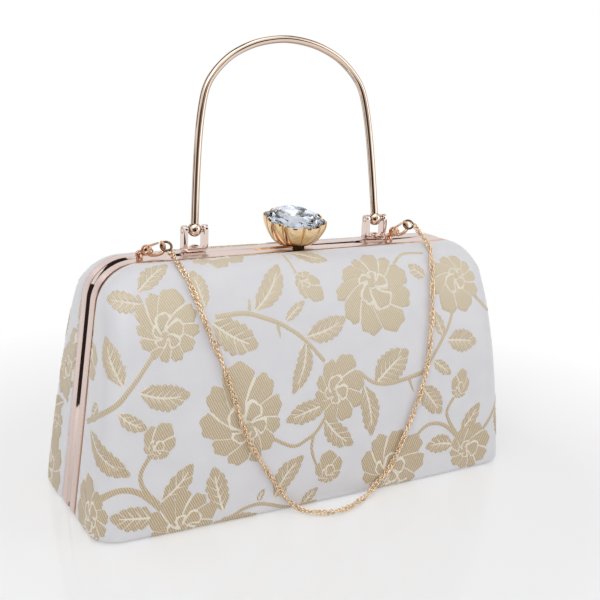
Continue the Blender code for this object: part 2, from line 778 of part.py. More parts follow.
def cup(y, half):
    """The scalloped cup: outside from foot to rim, then down its inside to a flat floor."""
    base = CUP_Z
    rim = CUP_Z + CUP_HEIGHT
    flare = CUP_RIM - CUP_FOOT
    rings = []
    for out, up, lobe in CUP_SHAPE:
        rings.append(lobed_ring(CUP_FOOT + flare * out, base + CUP_HEIGHT * up, lobe))
    rings.append(lobed_ring(CUP_RIM - CUP_WALL, rim, 1.0))
    rings.append(lobed_ring(CUP_RIM - 2 * CUP_WALL, rim - CUP_LIP, 0.9))
    rings.append(lobed_ring(CUP_FOOT, CUP_FLOOR, 0.0))
    body = add_object("clasp_cup", loft_mesh("clasp_cup", rings), yellow_gold, clasp_axis)
    socket_y = LEVER_THICK / 2 + FIT
    room = box_mesh(
        "cup_socket",
        (-half - FIT, y - socket_y, base - OVERCUT),
        (half + FIT, y + socket_y, base + CUP_SOCKET + FIT),
    )
    cut(body, room)
    settle(body)
    smooth(body, 50)


def stone():
    """A cut stone whose girdle follows the cup: pavilion, girdle, crown facets and table."""
    floor = CUP_FLOOR + FIT
    girdle = CUP_Z + CUP_HEIGHT - STONE_SINK
    rows = (
        (STONE_GIRDLE * 0.5, floor, 0.0, 0.0),
        (STONE_GIRDLE, girdle, 0.0, 1.0),
        (STONE_GIRDLE, girdle + STONE_EDGE, 0.0, 1.0),
        (STONE_GIRDLE * 0.84, floor + STONE_HIGH * 0.8, 0.5, 0.0),
        (STONE_GIRDLE * 0.62, floor + STONE_HIGH * 0.95, 0.0, 0.0),
        (STONE_GIRDLE * 0.4, floor + STONE_HIGH, 0.5, 0.0),
    )
    rings = [lobed_ring(radius, z, share, 2 * CUP_LOBES, shift) for radius, z, shift, share in rows]
    add_object("clasp_crystal", loft_mesh("clasp_crystal", rings), crystal, clasp_axis)


def arc(middle, radius, start, end, steps, tilt=Matrix.Identity(3)):
    """Points on an arc in the X-Z plane, turned by tilt about its middle."""
    points = []
    for k in range(steps + 1):
        turn = math.radians(start + (end - start) * k / steps)
        flat = Vector((radius * math.cos(turn), 0, radius * math.sin(turn)))
        points.append(Vector(middle) + tilt @ flat)
    return points


def chain_loop(word, x):
    """A wire staple set in the front strip; its crown runs along Y."""
    low = HEIGHT - FRAME_WALL
    crown = HEIGHT + LOOP_RISE
    bend = LOOP_HALF * 0.5
    leg = LOOP_Y - LOOP_HALF
    shape = [(leg, low), (leg, crown - bend), (leg + bend, crown)]
    shape += [(2 * LOOP_Y - y, z) for y, z in reversed(shape)]
    name = "chain_loop_" + word
    mesh = wire_mesh(name, [(x, y, z) for y, z in shape], LOOP_WIRE)
    smooth(add_object(name, mesh, yellow_gold, hinge_axis))


def snap_clasp(word, x, tilt_degrees):
    """A snap clasp on its loop: eye, body and hook in one, and a sprung trigger that closes it."""
    tilt = Matrix.Rotation(math.radians(-tilt_degrees), 3, "Y")
    eye = Vector((x, LOOP_Y, HEIGHT + LOOP_RISE))
    name = "lobster_body_" + word

    def place(u, w):
        return eye + tilt @ Vector((u, 0, w))

    ring = wire_mesh(name, arc(eye, EYE_RADIUS, 0, 330, 11), EYE_WIRE, True)
    body = add_object(name, ring, yellow_gold, hinge_axis)
    neck = EYE_RADIUS
    run = SNAP_LENGTH - neck
    blade = [
        (0, 0), (0.11, 0.08), (0.22, -0.22), (0.37, -0.75), (0.68, -1.0), (0.91, -0.75),
        (1, 0), (0.98, 0.6), (0.89, 1.0),
    ]
    route = [place(neck + run * u, SNAP_HALF * w) for u, w in blade]
    hook = wire_mesh(name + "_hook", spline_points(route, SNAP_WIRE * 1.8), SNAP_WIRE)
    cut(body, hook, "UNION")
    knob = bmesh.new()
    bmesh.ops.create_uvsphere(knob, u_segments=10, v_segments=7, radius=1.0)
    squash = Matrix.Diagonal((SNAP_BLOCK, SNAP_BLOCK_THICK / 2, SNAP_BLOCK_HIGH / 2, 1.0))
    knob.transform(Matrix.Translation(place(neck + SNAP_BLOCK, 0)) @ tilt.to_4x4() @ squash)
    cut(body, mesh_from(knob, name + "_block"), "UNION")
    settle(body)
    smooth(body, 50)
    return place


def trigger(word, place):
    """The sprung lever of a snap clasp, on a small pivot above the body."""
    pivot_u = EYE_RADIUS + SNAP_BLOCK
    pivot_w = SNAP_BLOCK_HIGH / 2 + FIT + TRIGGER_THICK / 2
    tip_u = EYE_RADIUS + (SNAP_LENGTH - EYE_RADIUS) * 0.89 - SNAP_WIRE - FIT
    half = TRIGGER_THICK / 2
    heel = SNAP_BLOCK * 0.65
    outline_uw = [
        (pivot_u - heel, pivot_w - half), (pivot_u + heel * 0.8, pivot_w - half),
        (tip_u, SNAP_HALF - half), (tip_u, SNAP_HALF + half),
        (pivot_u + heel * 1.3, pivot_w + half * 1.6), (pivot_u - heel * 0.3, pivot_w + half * 2.4),
        (pivot_u - heel * 1.15, pivot_w + half * 2),
    ]
    name = "lobster_trigger_" + word
    bm = bmesh.new()
    face = bm.faces.new([bm.verts.new(place(u, w) - Vector((0, half, 0))) for u, w in outline_uw])
    grown = bmesh.ops.extrude_face_region(bm, geom=[face])
    moved = [item for item in grown["geom"] if isinstance(item, bmesh.types.BMVert)]
    bmesh.ops.translate(bm, vec=(0, 2 * half, 0), verts=moved)
    mesh = mesh_from(bm, name)
    axis = add_empty(name + "_axis", place(pivot_u, pivot_w) - offset_of(hinge_axis), hinge_axis)
    add_object(name, mesh, yellow_gold, axis)


def jump_ring(word, place):
    """The ring in a snap clasp's hook, tipped to the front so that it crosses the hook's wire."""
    clear = RING_RADIUS - RING_WIRE - SNAP_WIRE - FIT
    middle = place(SNAP_LENGTH + clear, 0)
    along = (place(1, 0) - place(0, 0)).normalized()
    upward = (place(0, 1) - place(0, 0)).normalized()
    tip = math.radians(RING_TIP)
    outward = Vector((0, -1, 0)) * math.cos(tip) - upward * math.sin(tip)

    def spot(degrees, radius=RING_RADIUS):
        turn = math.radians(degrees)
        return middle + radius * (along * math.cos(turn) + outward * math.sin(turn))

    name = "chain_ring_" + word
    mesh = wire_mesh(name, [spot(k * 22.5) for k in range(16)], RING_WIRE, True)
    smooth(add_object(name, mesh, mirror_gold, hinge_axis))
    return spot


def across(share):
    return LOOP_LEFT_X + share * (LOOP_RIGHT_X - LOOP_LEFT_X)


def cover_point(share, rise):
    """A point of the chain where it lies on the front cover."""
    gap = CHAIN_WIDE / 2 + FIT
    z = rise * HEIGHT
    return Vector((across(share), -dome_depth(z, -gap), z))


def chain_route(first, last):
    down = [cover_point(share, rise) for share, rise in CHAIN_DOWN]
    flat = [Vector((across(share), -DOME_DEPTH - out, CHAIN_WIDE / 2)) for share, out in CHAIN_FLOOR]
    up = [cover_point(share, rise) for share, rise in CHAIN_UP]
    return [first] + down + flat + up + [last]


def chain(first, last):
    """The strand of twisted links as one flexible solid: a flat section that turns as it runs."""
    points = spline_points(chain_route(first, last), CHAIN_STEP)
    rings = []
    side = Vector((0, 0, 1))
    run = 0.0
    for k, point in enumerate(points):
        ahead = points[min(k + 1, len(points) - 1)] - points[max(k - 1, 0)]
        ahead.normalize()
        side = (side - ahead * side.dot(ahead)).normalized()
        edge = ahead.cross(side)
        if k:
            run += (point - points[k - 1]).length
        ring = []
        for n in range(CHAIN_SIDES):
            turn = 2 * math.pi * n / CHAIN_SIDES
            flat_x = CHAIN_WIDE / 2 * math.cos(turn)
            flat_y = CHAIN_THICK / 2 * math.sin(turn)
            spin = 2 * math.pi * run / CHAIN_TWIST
            wide = flat_x * math.cos(spin) - flat_y * math.sin(spin)
            thick = flat_x * math.sin(spin) + flat_y * math.cos(spin)
            ring.append(point + side * wide + edge * thick)
        rings.append(ring)
    smooth(add_object("chain", loft_mesh("chain", rings), yellow_gold, hinge_axis), 60)


def chain_set():
    ends = []
    left = ("left", LOOP_LEFT_X, SNAP_TILT_LEFT)
    right = ("right", LOOP_RIGHT_X, SNAP_TILT_RIGHT)
    for word, x, tilt in (left, right):
        chain_loop(word, x)
        place = snap_clasp(word, x, tilt)
        trigger(word, place)
        spot = jump_ring(word, place)
        reach = RING_RADIUS + RING_WIRE + FIT + CHAIN_WIDE / 2
        ends.append(spot(80 if word == "left" else 30, reach))
    chain(*ends)


def hole_for_rivet(band):
    for side in (-1, 1):
        x = side * CLEVIS_X
        low = (x, CLEVIS_Y, HEIGHT - FRAME_WALL - OVERCUT)
        high = (x, CLEVIS_Y, HEIGHT + OVERCUT)
        cut(band, rod_mesh(f"rivet_hole_{side}", low, high, RIVET_RADIUS + FIT, 12))


def holes_for_front(band):
    below = HEIGHT - FRAME_WALL - OVERCUT
    above = HEIGHT + OVERCUT
    cut(band, stem_slot("strip_slot", below, above))
    for x in (LOOP_LEFT_X, LOOP_RIGHT_X):
        for y in (LOOP_Y - LOOP_HALF, LOOP_Y + LOOP_HALF):
            cut(band, rod_mesh("loop_hole", (x, y, below), (x, y, above), LOOP_WIRE + FIT, 10))


back_band = make_half("back", BACK, seam)
front_band = make_half("front", FRONT, hinge_axis)
hole_for_rivet(back_band)
holes_for_front(front_band)
hinge_leaf("hinge_leaf_back", BACK, 0, seam)
hinge_leaf("hinge_leaf_front", FRONT, 1, hinge_axis)
hinge_pin(seam)
handle()
clevis("left", -1)
clevis("right", 1)
clasp()
chain_set()
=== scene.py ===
# Evening box clutch: brocade halves in a rose-gold frame, with a bow handle, a jewelled
# clasp and a twisted chain. Metres, +X right, +Y back, +Z up; the halves part at y = seam.
import math

import bmesh
import bpy
import numpy as np
from mathutils import Matrix, Vector


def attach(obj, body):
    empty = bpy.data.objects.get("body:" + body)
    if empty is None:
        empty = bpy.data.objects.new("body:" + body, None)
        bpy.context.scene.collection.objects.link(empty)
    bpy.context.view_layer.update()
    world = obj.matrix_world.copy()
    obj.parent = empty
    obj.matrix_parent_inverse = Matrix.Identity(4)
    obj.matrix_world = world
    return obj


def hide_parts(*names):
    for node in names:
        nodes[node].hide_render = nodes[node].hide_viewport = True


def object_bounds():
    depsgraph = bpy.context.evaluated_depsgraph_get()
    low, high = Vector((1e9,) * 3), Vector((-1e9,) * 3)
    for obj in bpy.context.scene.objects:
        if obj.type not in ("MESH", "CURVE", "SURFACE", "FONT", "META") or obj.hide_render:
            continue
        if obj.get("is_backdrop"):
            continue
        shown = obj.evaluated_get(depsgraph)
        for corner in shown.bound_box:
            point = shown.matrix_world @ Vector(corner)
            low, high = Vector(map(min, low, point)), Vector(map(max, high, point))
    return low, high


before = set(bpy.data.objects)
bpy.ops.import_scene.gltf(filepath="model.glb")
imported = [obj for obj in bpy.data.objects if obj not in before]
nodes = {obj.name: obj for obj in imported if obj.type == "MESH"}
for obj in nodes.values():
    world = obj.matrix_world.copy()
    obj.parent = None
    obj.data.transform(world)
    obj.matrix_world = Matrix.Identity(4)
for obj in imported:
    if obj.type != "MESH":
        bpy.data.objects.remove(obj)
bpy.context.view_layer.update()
scene = bpy.context.scene
mm = 0.001
front, back = -1, 1
halves = (("front", front), ("back", back))
fit = 0.3 * mm  # clearance between pieces that move or touch

bag = {
    "bottomWidth": 200 * mm,
    "topWidth": 177.6 * mm,
    "height": 103 * mm,
    "topCorner": 15 * mm,
    "foot": 3 * mm,
    "depth": 37.5 * mm,
    "power": 2.5,  # how full the dome is from foot to top
    "crown": 1.2 * mm,
    "planCorner": 10.5 * mm,
    "rim": 8.3 * mm,  # the cover ends here, beside the frame strip
    "seam": 6.5 * mm,
}


def linear(hexColour):
    channels = [int(hexColour[i:i + 2], 16) / 255 for i in (1, 3, 5)]
    channels = [c / 12.92 if c <= 0.04045 else ((c + 0.055) / 1.055) ** 2.4 for c in channels]
    return (*channels, 1.0)


def firstOutput(node):
    return node.outputs["Result"] if "Result" in node.outputs else node.outputs[0]


def addNode(tree, kind, inputs=None, to=None, **settings):
    # a node given as an input lends its first output, and a colour is a hex string; to is the socket
    # that the new node feeds, or the name of an input of the material's shader
    node = tree.nodes.new(kind)
    for name, value in settings.items():
        setattr(node, name, value)
    for name, value in (inputs or {}).items():
        if isinstance(value, bpy.types.Node):
            value = firstOutput(value)
        if isinstance(value, bpy.types.NodeSocket):
            tree.links.new(value, node.inputs[name])
        else:
            node.inputs[name].default_value = linear(value) if isinstance(value, str) else value
    if isinstance(to, str):
        to = tree.nodes["Principled BSDF"].inputs[to]
    if to is not None:
        tree.links.new(firstOutput(node), to)
    return node


def newMaterial(name, colour, values):
    material = bpy.data.materials.new(name)
    material.use_nodes = True
    inputs = material.node_tree.nodes["Principled BSDF"].inputs
    inputs["Base Color"].default_value = linear(colour)
    for socket, value in values.items():
        inputs[socket].default_value = value
    return material, material.node_tree


def newObject(name, data):
    thing = bpy.data.objects.new(name, data)
    scene.collection.objects.link(thing)
    return thing


# Camera, lamps and floor
print("stage: camera, lamps and floor")
camera = {
    "place": (-210.57 * mm, -358.95 * mm, 191.41 * mm),
    "right": (0.86661855, -0.4969061, 0.04534993),
    "down": (-0.08983208, -0.24477738, -0.96540884),
    "ahead": (0.49081818, 0.83256734, -0.25676672),
    "lens": 60.28,
}
eye = newObject("camera", bpy.data.cameras.new("camera"))
turn = Matrix((Vector(camera["right"]), -Vector(camera["down"]), -Vector(camera["ahead"]))).transposed()
eye.matrix_world = Matrix.Translation(camera["place"]) @ turn.to_4x4()
eye.data.sensor_width = 36
eye.data.lens = camera["lens"]
scene.camera = eye
scene.view_settings.view_transform = "Standard"

lamps = (
    # name, place, what it faces, size, watts
    ("key", (-0.75, -0.85, 0.95), (0, 0, 0.06), 0.8, 5.0),
    ("fill", (0.95, -0.75, 0.55), (0, 0, 0.06), 0.9, 2.2),
    ("top", (-0.1, -0.1, 1.1), (0, 0, 0.0), 0.9, 2.2),
    ("back", (-0.7, 0.9, 0.9), (0, 0, 0.05), 0.9, 1.6),
)
for name, place, target, size, watts in lamps:
    data = bpy.data.lights.new(name, "AREA")
    data.size = size
    data.energy = watts
    lamp = newObject(name, data)
    lamp.location = place
    lamp.rotation_mode = "QUATERNION"
    lamp.rotation_quaternion = (Vector(target) - Vector(place)).to_track_quat("-Z", "Y")


def seenWhite(tree):
    # 1 on rays that should meet the white studio: camera, mirror and glass rays
    rays = addNode(tree, "ShaderNodeLightPath").outputs
    first = addNode(tree, "ShaderNodeMath", {0: rays["Is Camera Ray"], 1: rays["Is Glossy Ray"]},
                    operation="MAXIMUM")
    return addNode(tree, "ShaderNodeMath", {0: first, 1: rays["Is Transmission Ray"]}, operation="MAXIMUM")


world = bpy.data.worlds.new("white studio")
world.use_nodes = True
scene.world = world
air = world.node_tree
air.nodes.clear()
ambient = addNode(air, "ShaderNodeBackground", {"Color": "#F5F5F8", "Strength": 0.42})
white = addNode(air, "ShaderNodeBackground", {"Color": (1, 1, 1, 1), "Strength": 1.0})
mixed = addNode(air, "ShaderNodeMixShader", {0: seenWhite(air), 1: ambient, 2: white})
addNode(air, "ShaderNodeOutputWorld", {"Surface": mixed})


def flatPiece(name, corners, material, faces=None):
    mesh = bpy.data.meshes.new(name)
    mesh.from_pydata(corners, [], faces or [tuple(range(len(corners)))])
    mesh.materials.append(material)
    return newObject(name, mesh)


# Glossy white acrylic sheet: keeps a faint mirror image and a pale shadow under the bag
acrylic, tree = newMaterial("white acrylic floor", "#FFFFFF", {"Roughness": 0.07, "IOR": 1.5})
glow = addNode(tree, "ShaderNodeEmission", {"Color": (1, 1, 1, 1), "Strength": 1.0})
spot = addNode(tree, "ShaderNodeTexCoord")
away = addNode(tree, "ShaderNodeVectorMath", {0: spot.outputs["Object"]}, operation="LENGTH")
# plain white a little way off; near the bag it takes the shadow and the mirror image
part = addNode(tree, "ShaderNodeMapRange", {"Value": away.outputs["Value"], "From Min": 0.13,
                                            "From Max": 0.26, "To Min": 0.34, "To Max": 1.0})
share = addNode(tree, "ShaderNodeMath", {0: seenWhite(tree), 1: part}, operation="MULTIPLY")
addNode(tree, "ShaderNodeMixShader", {0: share, 1: tree.nodes["Principled BSDF"], 2: glow},
        to=tree.nodes["Material Output"].inputs["Surface"])
reach, drop = 3.0, 0.1 * mm
corners = ((-reach, -reach, -drop), (reach, -reach, -drop), (reach, reach, -drop), (-reach, reach, -drop))
flatPiece("floor", corners, acrylic)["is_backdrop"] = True

# Matte brown-black boards that only mirrors and glass see: they draw the dark lines on polished metal
board, tree = newMaterial("brown black board", "#2A1A14", {"Roughness": 0.9})
grain = addNode(tree, "ShaderNodeTexNoise", {"Scale": 40.0, "Detail": 3.0})
addNode(tree, "ShaderNodeMix", {"Factor": grain, "A": "#1A0F0B", "B": "#38251C"},
        to="Base Color", data_type="RGBA")


def addBoard(name, corners, faces=None):
    card = flatPiece(name, corners, board, faces)
    card.visible_camera = card.visible_diffuse = card.visible_shadow = False
    card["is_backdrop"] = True


boards = (
    # direction round the bag in degrees, distance, width, lowest and highest edge, lean back
    (-106, 0.30, 0.20, 0.0, 0.14, 0),
    (154, 0.50, 0.05, 0.0, 0.20, 0),
    (167, 0.28, 0.10, 0.0, 0.17, 0),
    (-61, 0.90, 0.32, 0.24, 0.75, 0),
    (20, 0.52, 0.24, 0.62, 0.86, 60),
)
for number, (degrees, far, wide, low, high, leanBack) in enumerate(boards):
    way = math.radians(degrees)
    outward = Vector((math.cos(way), math.sin(way), 0))
    side = Vector((-math.sin(way), math.cos(way), 0)) * wide / 2
    up = Vector((0, 0, 1)) * math.cos(math.radians(leanBack)) - outward * math.sin(math.radians(leanBack))
    base = outward * far + Vector((0, 0, low))
    top = base + up * (high - low)
    addBoard(f"board_{number}", [base - side, base + side, top + side, top - side])

# and a curved one behind, up on the left: the dark outer line on the round of the bow
arc = {"far": 0.8, "inner": 78, "outer": 104, "start": 20, "end": 92, "steps": 16}
ahead, leftWay, upWay = Vector(camera["ahead"]), -Vector(camera["right"]), -Vector(camera["down"])
points = []
for k in range(arc["steps"]):
    turn = math.radians(arc["start"] + (arc["end"] - arc["start"]) * k / (arc["steps"] - 1))
    for bent in (math.radians(arc["inner"]), math.radians(arc["outer"])):
        way = ahead * math.cos(bent) + (leftWay * math.cos(turn) + upWay * math.sin(turn)) * math.sin(bent)
        points.append(way * arc["far"])
addBoard("board_arc", points, [(2 * k, 2 * k + 1, 2 * k + 3, 2 * k + 2) for k in range(arc["steps"] - 1)])


# Materials
print("stage: materials")


def ripple(period):
    # scale of a wave texture whose bands are this far apart
    return 2 * math.pi / 20 / period


def mottle(tree, vector, grain, dark, light, detail):
    # patches of two shades in the base colour, each about grain across
    patches = addNode(tree, "ShaderNodeTexNoise", {"Vector": vector, "Scale": 1 / grain, "Detail": detail})
    addNode(tree, "ShaderNodeMix", {"Factor": patches, "A": dark, "B": light},
            to="Base Color", data_type="RGBA")
    return patches


# Pearl satin, warp-faced silk-like weave: smooth and softly shiny, with a lavender cast in the shade
satinGround, tree = newMaterial("pearl satin ground", "#EAE9ED", {
    "Roughness": 0.34, "Sheen Weight": 0.2, "Sheen Roughness": 0.4, "Specular IOR Level": 0.45})
cloth = addNode(tree, "ShaderNodeUVMap", uv_map="cloth")
turned = addNode(tree, "ShaderNodeMapping", {"Vector": cloth, "Rotation": (0, 0, 0.9)})
warp = addNode(tree, "ShaderNodeTexWave", {"Vector": turned, "Scale": ripple(0.42 * mm), "Distortion": 1.2,
                                           "Detail": 2.0, "Detail Scale": 1.5})
mottle(tree, cloth, 14 * mm, "#E4E3E7", "#F2F1F3", 3.0)
addNode(tree, "ShaderNodeBump", {"Height": warp.outputs["Fac"], "Strength": 0.25, "Distance": 0.03 * mm},
        to="Normal")

# Jacquard gold thread: khaki gilt weft floats over the satin, in a steep diagonal twill
goldThread, tree = newMaterial("gold jacquard thread", "#D3C2A6", {
    "Roughness": 0.48, "Metallic": 0.1, "Sheen Weight": 0.2, "Sheen Roughness": 0.5})
cloth = addNode(tree, "ShaderNodeUVMap", uv_map="cloth")
turned = addNode(tree, "ShaderNodeMapping", {"Vector": cloth, "Rotation": (0, 0, -0.45)})
# real ribs are nearer 0.5 mm apart; drawn at 0.9 mm so that they show at the photo's size
twill = addNode(tree, "ShaderNodeTexWave", {"Vector": turned, "Scale": ripple(0.9 * mm), "Distortion": 1.6,
                                            "Detail": 3.0, "Detail Scale": 1.4})
broken = addNode(tree, "ShaderNodeTexNoise", {"Vector": cloth, "Scale": 1 / (0.5 * mm), "Detail": 2.0})
drift = addNode(tree, "ShaderNodeTexNoise", {"Vector": cloth, "Scale": 1 / (45 * mm), "Detail": 1.0})
rib = addNode(tree, "ShaderNodeMapRange", {"Value": twill.outputs["Fac"], "From Min": 0.22, "From Max": 0.86,
                                           "To Min": 0.06, "To Max": 1.0})
ramp = addNode(tree, "ShaderNodeMath", {0: rib, 1: broken}, operation="MULTIPLY")
up = addNode(tree, "ShaderNodeSeparateXYZ", {"Vector": cloth})
# painted light: the weave is painted from khaki at the foot to a paler, greyer gold at the top, where more
# light falls; the drift noise adds patches of tone at random
paintedLitTop = addNode(tree, "ShaderNodeMapRange", {"Value": up.outputs["Y"], "From Min": 30 * mm,
                                             "From Max": 95 * mm, "To Min": -0.15, "To Max": 0.85})
height = addNode(tree, "ShaderNodeMath", {0: drift, 1: 0.35, 2: paintedLitTop}, operation="MULTIPLY_ADD",
                 use_clamp=True)
toneWithPaintedLight = addNode(tree, "ShaderNodeMix", {"Factor": height, "A": "#BCA380", "B": "#D3C2A6"}, data_type="RGBA")
addNode(tree, "ShaderNodeMix", {"Factor": ramp, "A": toneWithPaintedLight, "B": "#FBF3DC"},
        to="Base Color", data_type="RGBA")
addNode(tree, "ShaderNodeBump", {"Height": twill.outputs["Fac"], "Strength": 0.6, "Distance": 0.08 * mm},
        to="Normal")

# Cream binding thread: the pale outlines between petals and along the veins
creamThread, tree = newMaterial("cream binding thread", "#EDE3D0", {
    "Roughness": 0.6, "Sheen Weight": 0.3})
cloth = addNode(tree, "ShaderNodeUVMap", uv_map="cloth")
mottle(tree, cloth, 0.35 * mm, "#F0E6D2", "#FFFAF0", 2.0)


def platedMetal(name, colour, roughness, wear, grain):
    # gold-plated brass; wear is how far the roughness drifts, grain the size of its haze
    material, tree = newMaterial(name, colour, {"Metallic": 1.0, "Roughness": roughness})
    place = addNode(tree, "ShaderNodeTexCoord").outputs["Object"]
    haze = addNode(tree, "ShaderNodeTexNoise", {"Vector": place, "Scale": 1 / grain, "Detail": 4.0})
    addNode(tree, "ShaderNodeMapRange", {"Value": haze, "From Min": 0.3, "From Max": 0.7,
                                         "To Min": roughness - wear, "To Max": roughness + wear},
            to="Roughness")
    return material, tree, place


# Rose-gold plate, satin-brushed along the strip: a soft pale pink with blurred reflections
satinMetal, tree, place = platedMetal("satin rose-gold plate", "#D8C2BB", 0.28, 0.02, 6 * mm)
stretched = addNode(tree, "ShaderNodeMapping", {"Vector": place, "Scale": (0.05, 1, 1)})
brush = addNode(tree, "ShaderNodeTexNoise", {"Vector": stretched, "Scale": 1 / (0.25 * mm), "Detail": 3.0})
addNode(tree, "ShaderNodeBump", {"Height": brush, "Strength": 0.07, "Distance": 0.02 * mm}, to="Normal")
# The bow's drawn and polished tube, with reflections painted into its base colour: a painted dark line along
# its middle, standing in for the mirrored unlit side of the room, and painted thin brown outlines where the
# tube turns away
bowMetal, tree = platedMetal("polished drawn tube", "#DCC5B3", 0.05, 0.02, 3 * mm)[:2]
facing = addNode(tree, "ShaderNodeLayerWeight", {"Blend": 0.5}).outputs["Facing"]
paintedOutlineShare = addNode(tree, "ShaderNodeMapRange", {"Value": facing, "From Min": 0.34, "From Max": 0.74})
sides = addNode(tree, "ShaderNodeMix", {"Factor": paintedOutlineShare, "A": "#E2CDBC", "B": "#7E6452"},
                data_type="RGBA")
# painted reflection: the dark line down the middle of the tube, where it faces the camera
middle = addNode(tree, "ShaderNodeMapRange", {"Value": facing, "From Min": 0.02, "From Max": 0.085,
                                              "To Min": 1.0, "To Max": 0.0})
addNode(tree, "ShaderNodeMix", {"Factor": middle, "A": sides, "B": "#4C3A30"},
        to="Base Color", data_type="RGBA")
# Mirror-polished rose-gold plate: hard dark and white reflections
mirrorMetal = platedMetal("polished rose-gold plate", "#E0CEC5", 0.05, 0.02, 3 * mm)[0]
# Polished yellow-gold plate: deeper and more orange where it mirrors itself
yellowMetal = platedMetal("polished yellow-gold plate", "#C9A084", 0.10, 0.04, 2 * mm)[0]
# Champagne-gold plate of the cup: pale where it faces out, orange where it mirrors itself
cupMetal = platedMetal("champagne-gold plate", "#E6C99E", 0.11, 0.05, 2 * mm)[0]
# Brass of the clasp's stem, painted near black as the shadow in the dark under the cup
shadowedStemMetal = platedMetal("stem brass painted dark as shadow", "#3E2A1A", 0.35, 0.05, 2 * mm)[0]
# Pale-gold plate of the drawn chain wire: bright beads of light with brown gaps
chainMetal = platedMetal("pale-gold chain plate", "#E6CFB2", 0.12, 0.05, 1 * mm)[0]
# Brass of the jump rings, painted dark in place of the dark reflections on polished gold: dark against the
# white, with small bright glints
darkReflectionMetal = platedMetal("brass painted with dark reflections", "#6A523C", 0.14, 0.05, 1 * mm)[0]
# Nickelled steel of the hinge and catch
steelMetal = platedMetal("nickelled steel", "#C9C7C4", 0.3, 0.06, 2 * mm)[0]

# Injection-moulded shell: fine spark texture, warm white
shellPlastic, tree = newMaterial("moulded shell", "#DCD8D2", {"Roughness": 0.55})
place = addNode(tree, "ShaderNodeTexCoord").outputs["Object"]
spark = addNode(tree, "ShaderNodeTexNoise", {"Vector": place, "Scale": 1 / (0.4 * mm), "Detail": 2.0})
addNode(tree, "ShaderNodeBump", {"Height": spark, "Strength": 0.3, "Distance": 0.03 * mm}, to="Normal")

# Champagne lining satin, glued to the shell: long soft highlights and faint slubs across
liningSatin, tree = newMaterial("champagne lining satin", "#DCCDBB", {
    "Roughness": 0.38, "Sheen Weight": 0.3, "Sheen Roughness": 0.35})
cloth = addNode(tree, "ShaderNodeUVMap", uv_map="cloth")
slub = addNode(tree, "ShaderNodeMapping", {"Vector": cloth, "Scale": (1, 12, 1)})
threads = mottle(tree, slub, 6 * mm, "#D2C1AC", "#E6DACB", 4.0)
addNode(tree, "ShaderNodeBump", {"Height": threads, "Strength": 0.2, "Distance": 0.05 * mm}, to="Normal")

# Cut crystal, polished: clear with a breath of blue
crystalGlass = newMaterial("cut crystal", "#F4F7FC", {
    "Roughness": 0.01, "IOR": 1.55, "Transmission Weight": 1.0})[0]
# Silver foil on the crystal's back: throws the light out again
foilBack, tree = newMaterial("silver foil back", "#DDE1E8", {"Metallic": 1.0, "Roughness": 0.08})
place = addNode(tree, "ShaderNodeTexCoord").outputs["Object"]
flaw = addNode(tree, "ShaderNodeTexNoise", {"Vector": place, "Scale": 1 / (1.5 * mm)})
addNode(tree, "ShaderNodeMapRange", {"Value": flaw, "To Min": 0.03, "To Max": 0.14}, to="Roughness")


# Making and carving pieces
def smoothed(thing, sharp=None):
    thing.data.polygons.foreach_set("use_smooth", np.ones(len(thing.data.polygons), bool))
    if sharp is not None:
        thing.data.set_sharp_from_angle(angle=math.radians(sharp))
    return thing


def makePiece(name, points, faces, materials, cloth=None, pick=None, sharp=None):
    mesh = bpy.data.meshes.new(name)
    mesh.from_pydata(np.asarray(points).tolist(), [], [tuple(map(int, f)) for f in faces])
    for material in materials:
        mesh.materials.append(material)
    if pick is not None:
        mesh.polygons.foreach_set("material_index", np.asarray(pick, np.int32))
    if cloth is not None:
        layer = mesh.uv_layers.new(name="cloth")
        corner = np.empty(len(mesh.loops), np.int32)
        mesh.loops.foreach_get("vertex_index", corner)
        layer.data.foreach_set("uv", np.asarray(cloth, np.float32)[corner].ravel())
    mesh.update()
    return smoothed(newObject(name, mesh), sharp)


def tidyMesh(thing, merge=1e-6, outward=True):
    bm = bmesh.new()
    bm.from_mesh(thing.data)
    bmesh.ops.remove_doubles(bm, verts=bm.verts, dist=merge)
    bmesh.ops.dissolve_degenerate(bm, edges=bm.edges, dist=merge)
    if outward:
        bmesh.ops.recalc_face_normals(bm, faces=bm.faces)
    bm.to_mesh(thing.data)
    bm.free()


def applyModifiers(thing):
    bpy.context.view_layer.update()
    graph = bpy.context.evaluated_depsgraph_get()
    made = bpy.data.meshes.new_from_object(thing.evaluated_get(graph))
    thing.modifiers.clear()
    old = thing.data
    thing.data = made
    bpy.data.meshes.remove(old)
    made.name = thing.name


def carve(thing, cutter):
    step = thing.modifiers.new("carve", "BOOLEAN")
    step.operation = "DIFFERENCE"
    step.solver = "EXACT"
    step.object = cutter
    applyModifiers(thing)
    bpy.data.objects.remove(cutter, do_unlink=True)


def fromBmesh(name, bm, materials=()):
    mesh = bpy.data.meshes.new(name)
    bm.to_mesh(mesh)
    bm.free()
    for material in materials:
        mesh.materials.append(material)
    return newObject(name, mesh)


def boxAt(name, low, high):
    low, high = Vector(low), Vector(high)
    bm = bmesh.new()
    bmesh.ops.create_cube(bm, size=1.0)
    bm.transform(Matrix.Translation((low + high) / 2) @ Matrix.Diagonal((*(high - low), 1.0)))
    return fromBmesh(name, bm)


def rodAt(name, start, end, radius, sides=48):
    start, end = Vector(start), Vector(end)
    bm = bmesh.new()
    bmesh.ops.create_cone(bm, cap_ends=True, segments=sides, radius1=radius, radius2=radius,
                          depth=(end - start).length)
    spin = (end - start).to_track_quat("Z", "Y").to_matrix().to_4x4()
    bm.transform(Matrix.Translation((start + end) / 2) @ spin)
    return fromBmesh(name, bm)


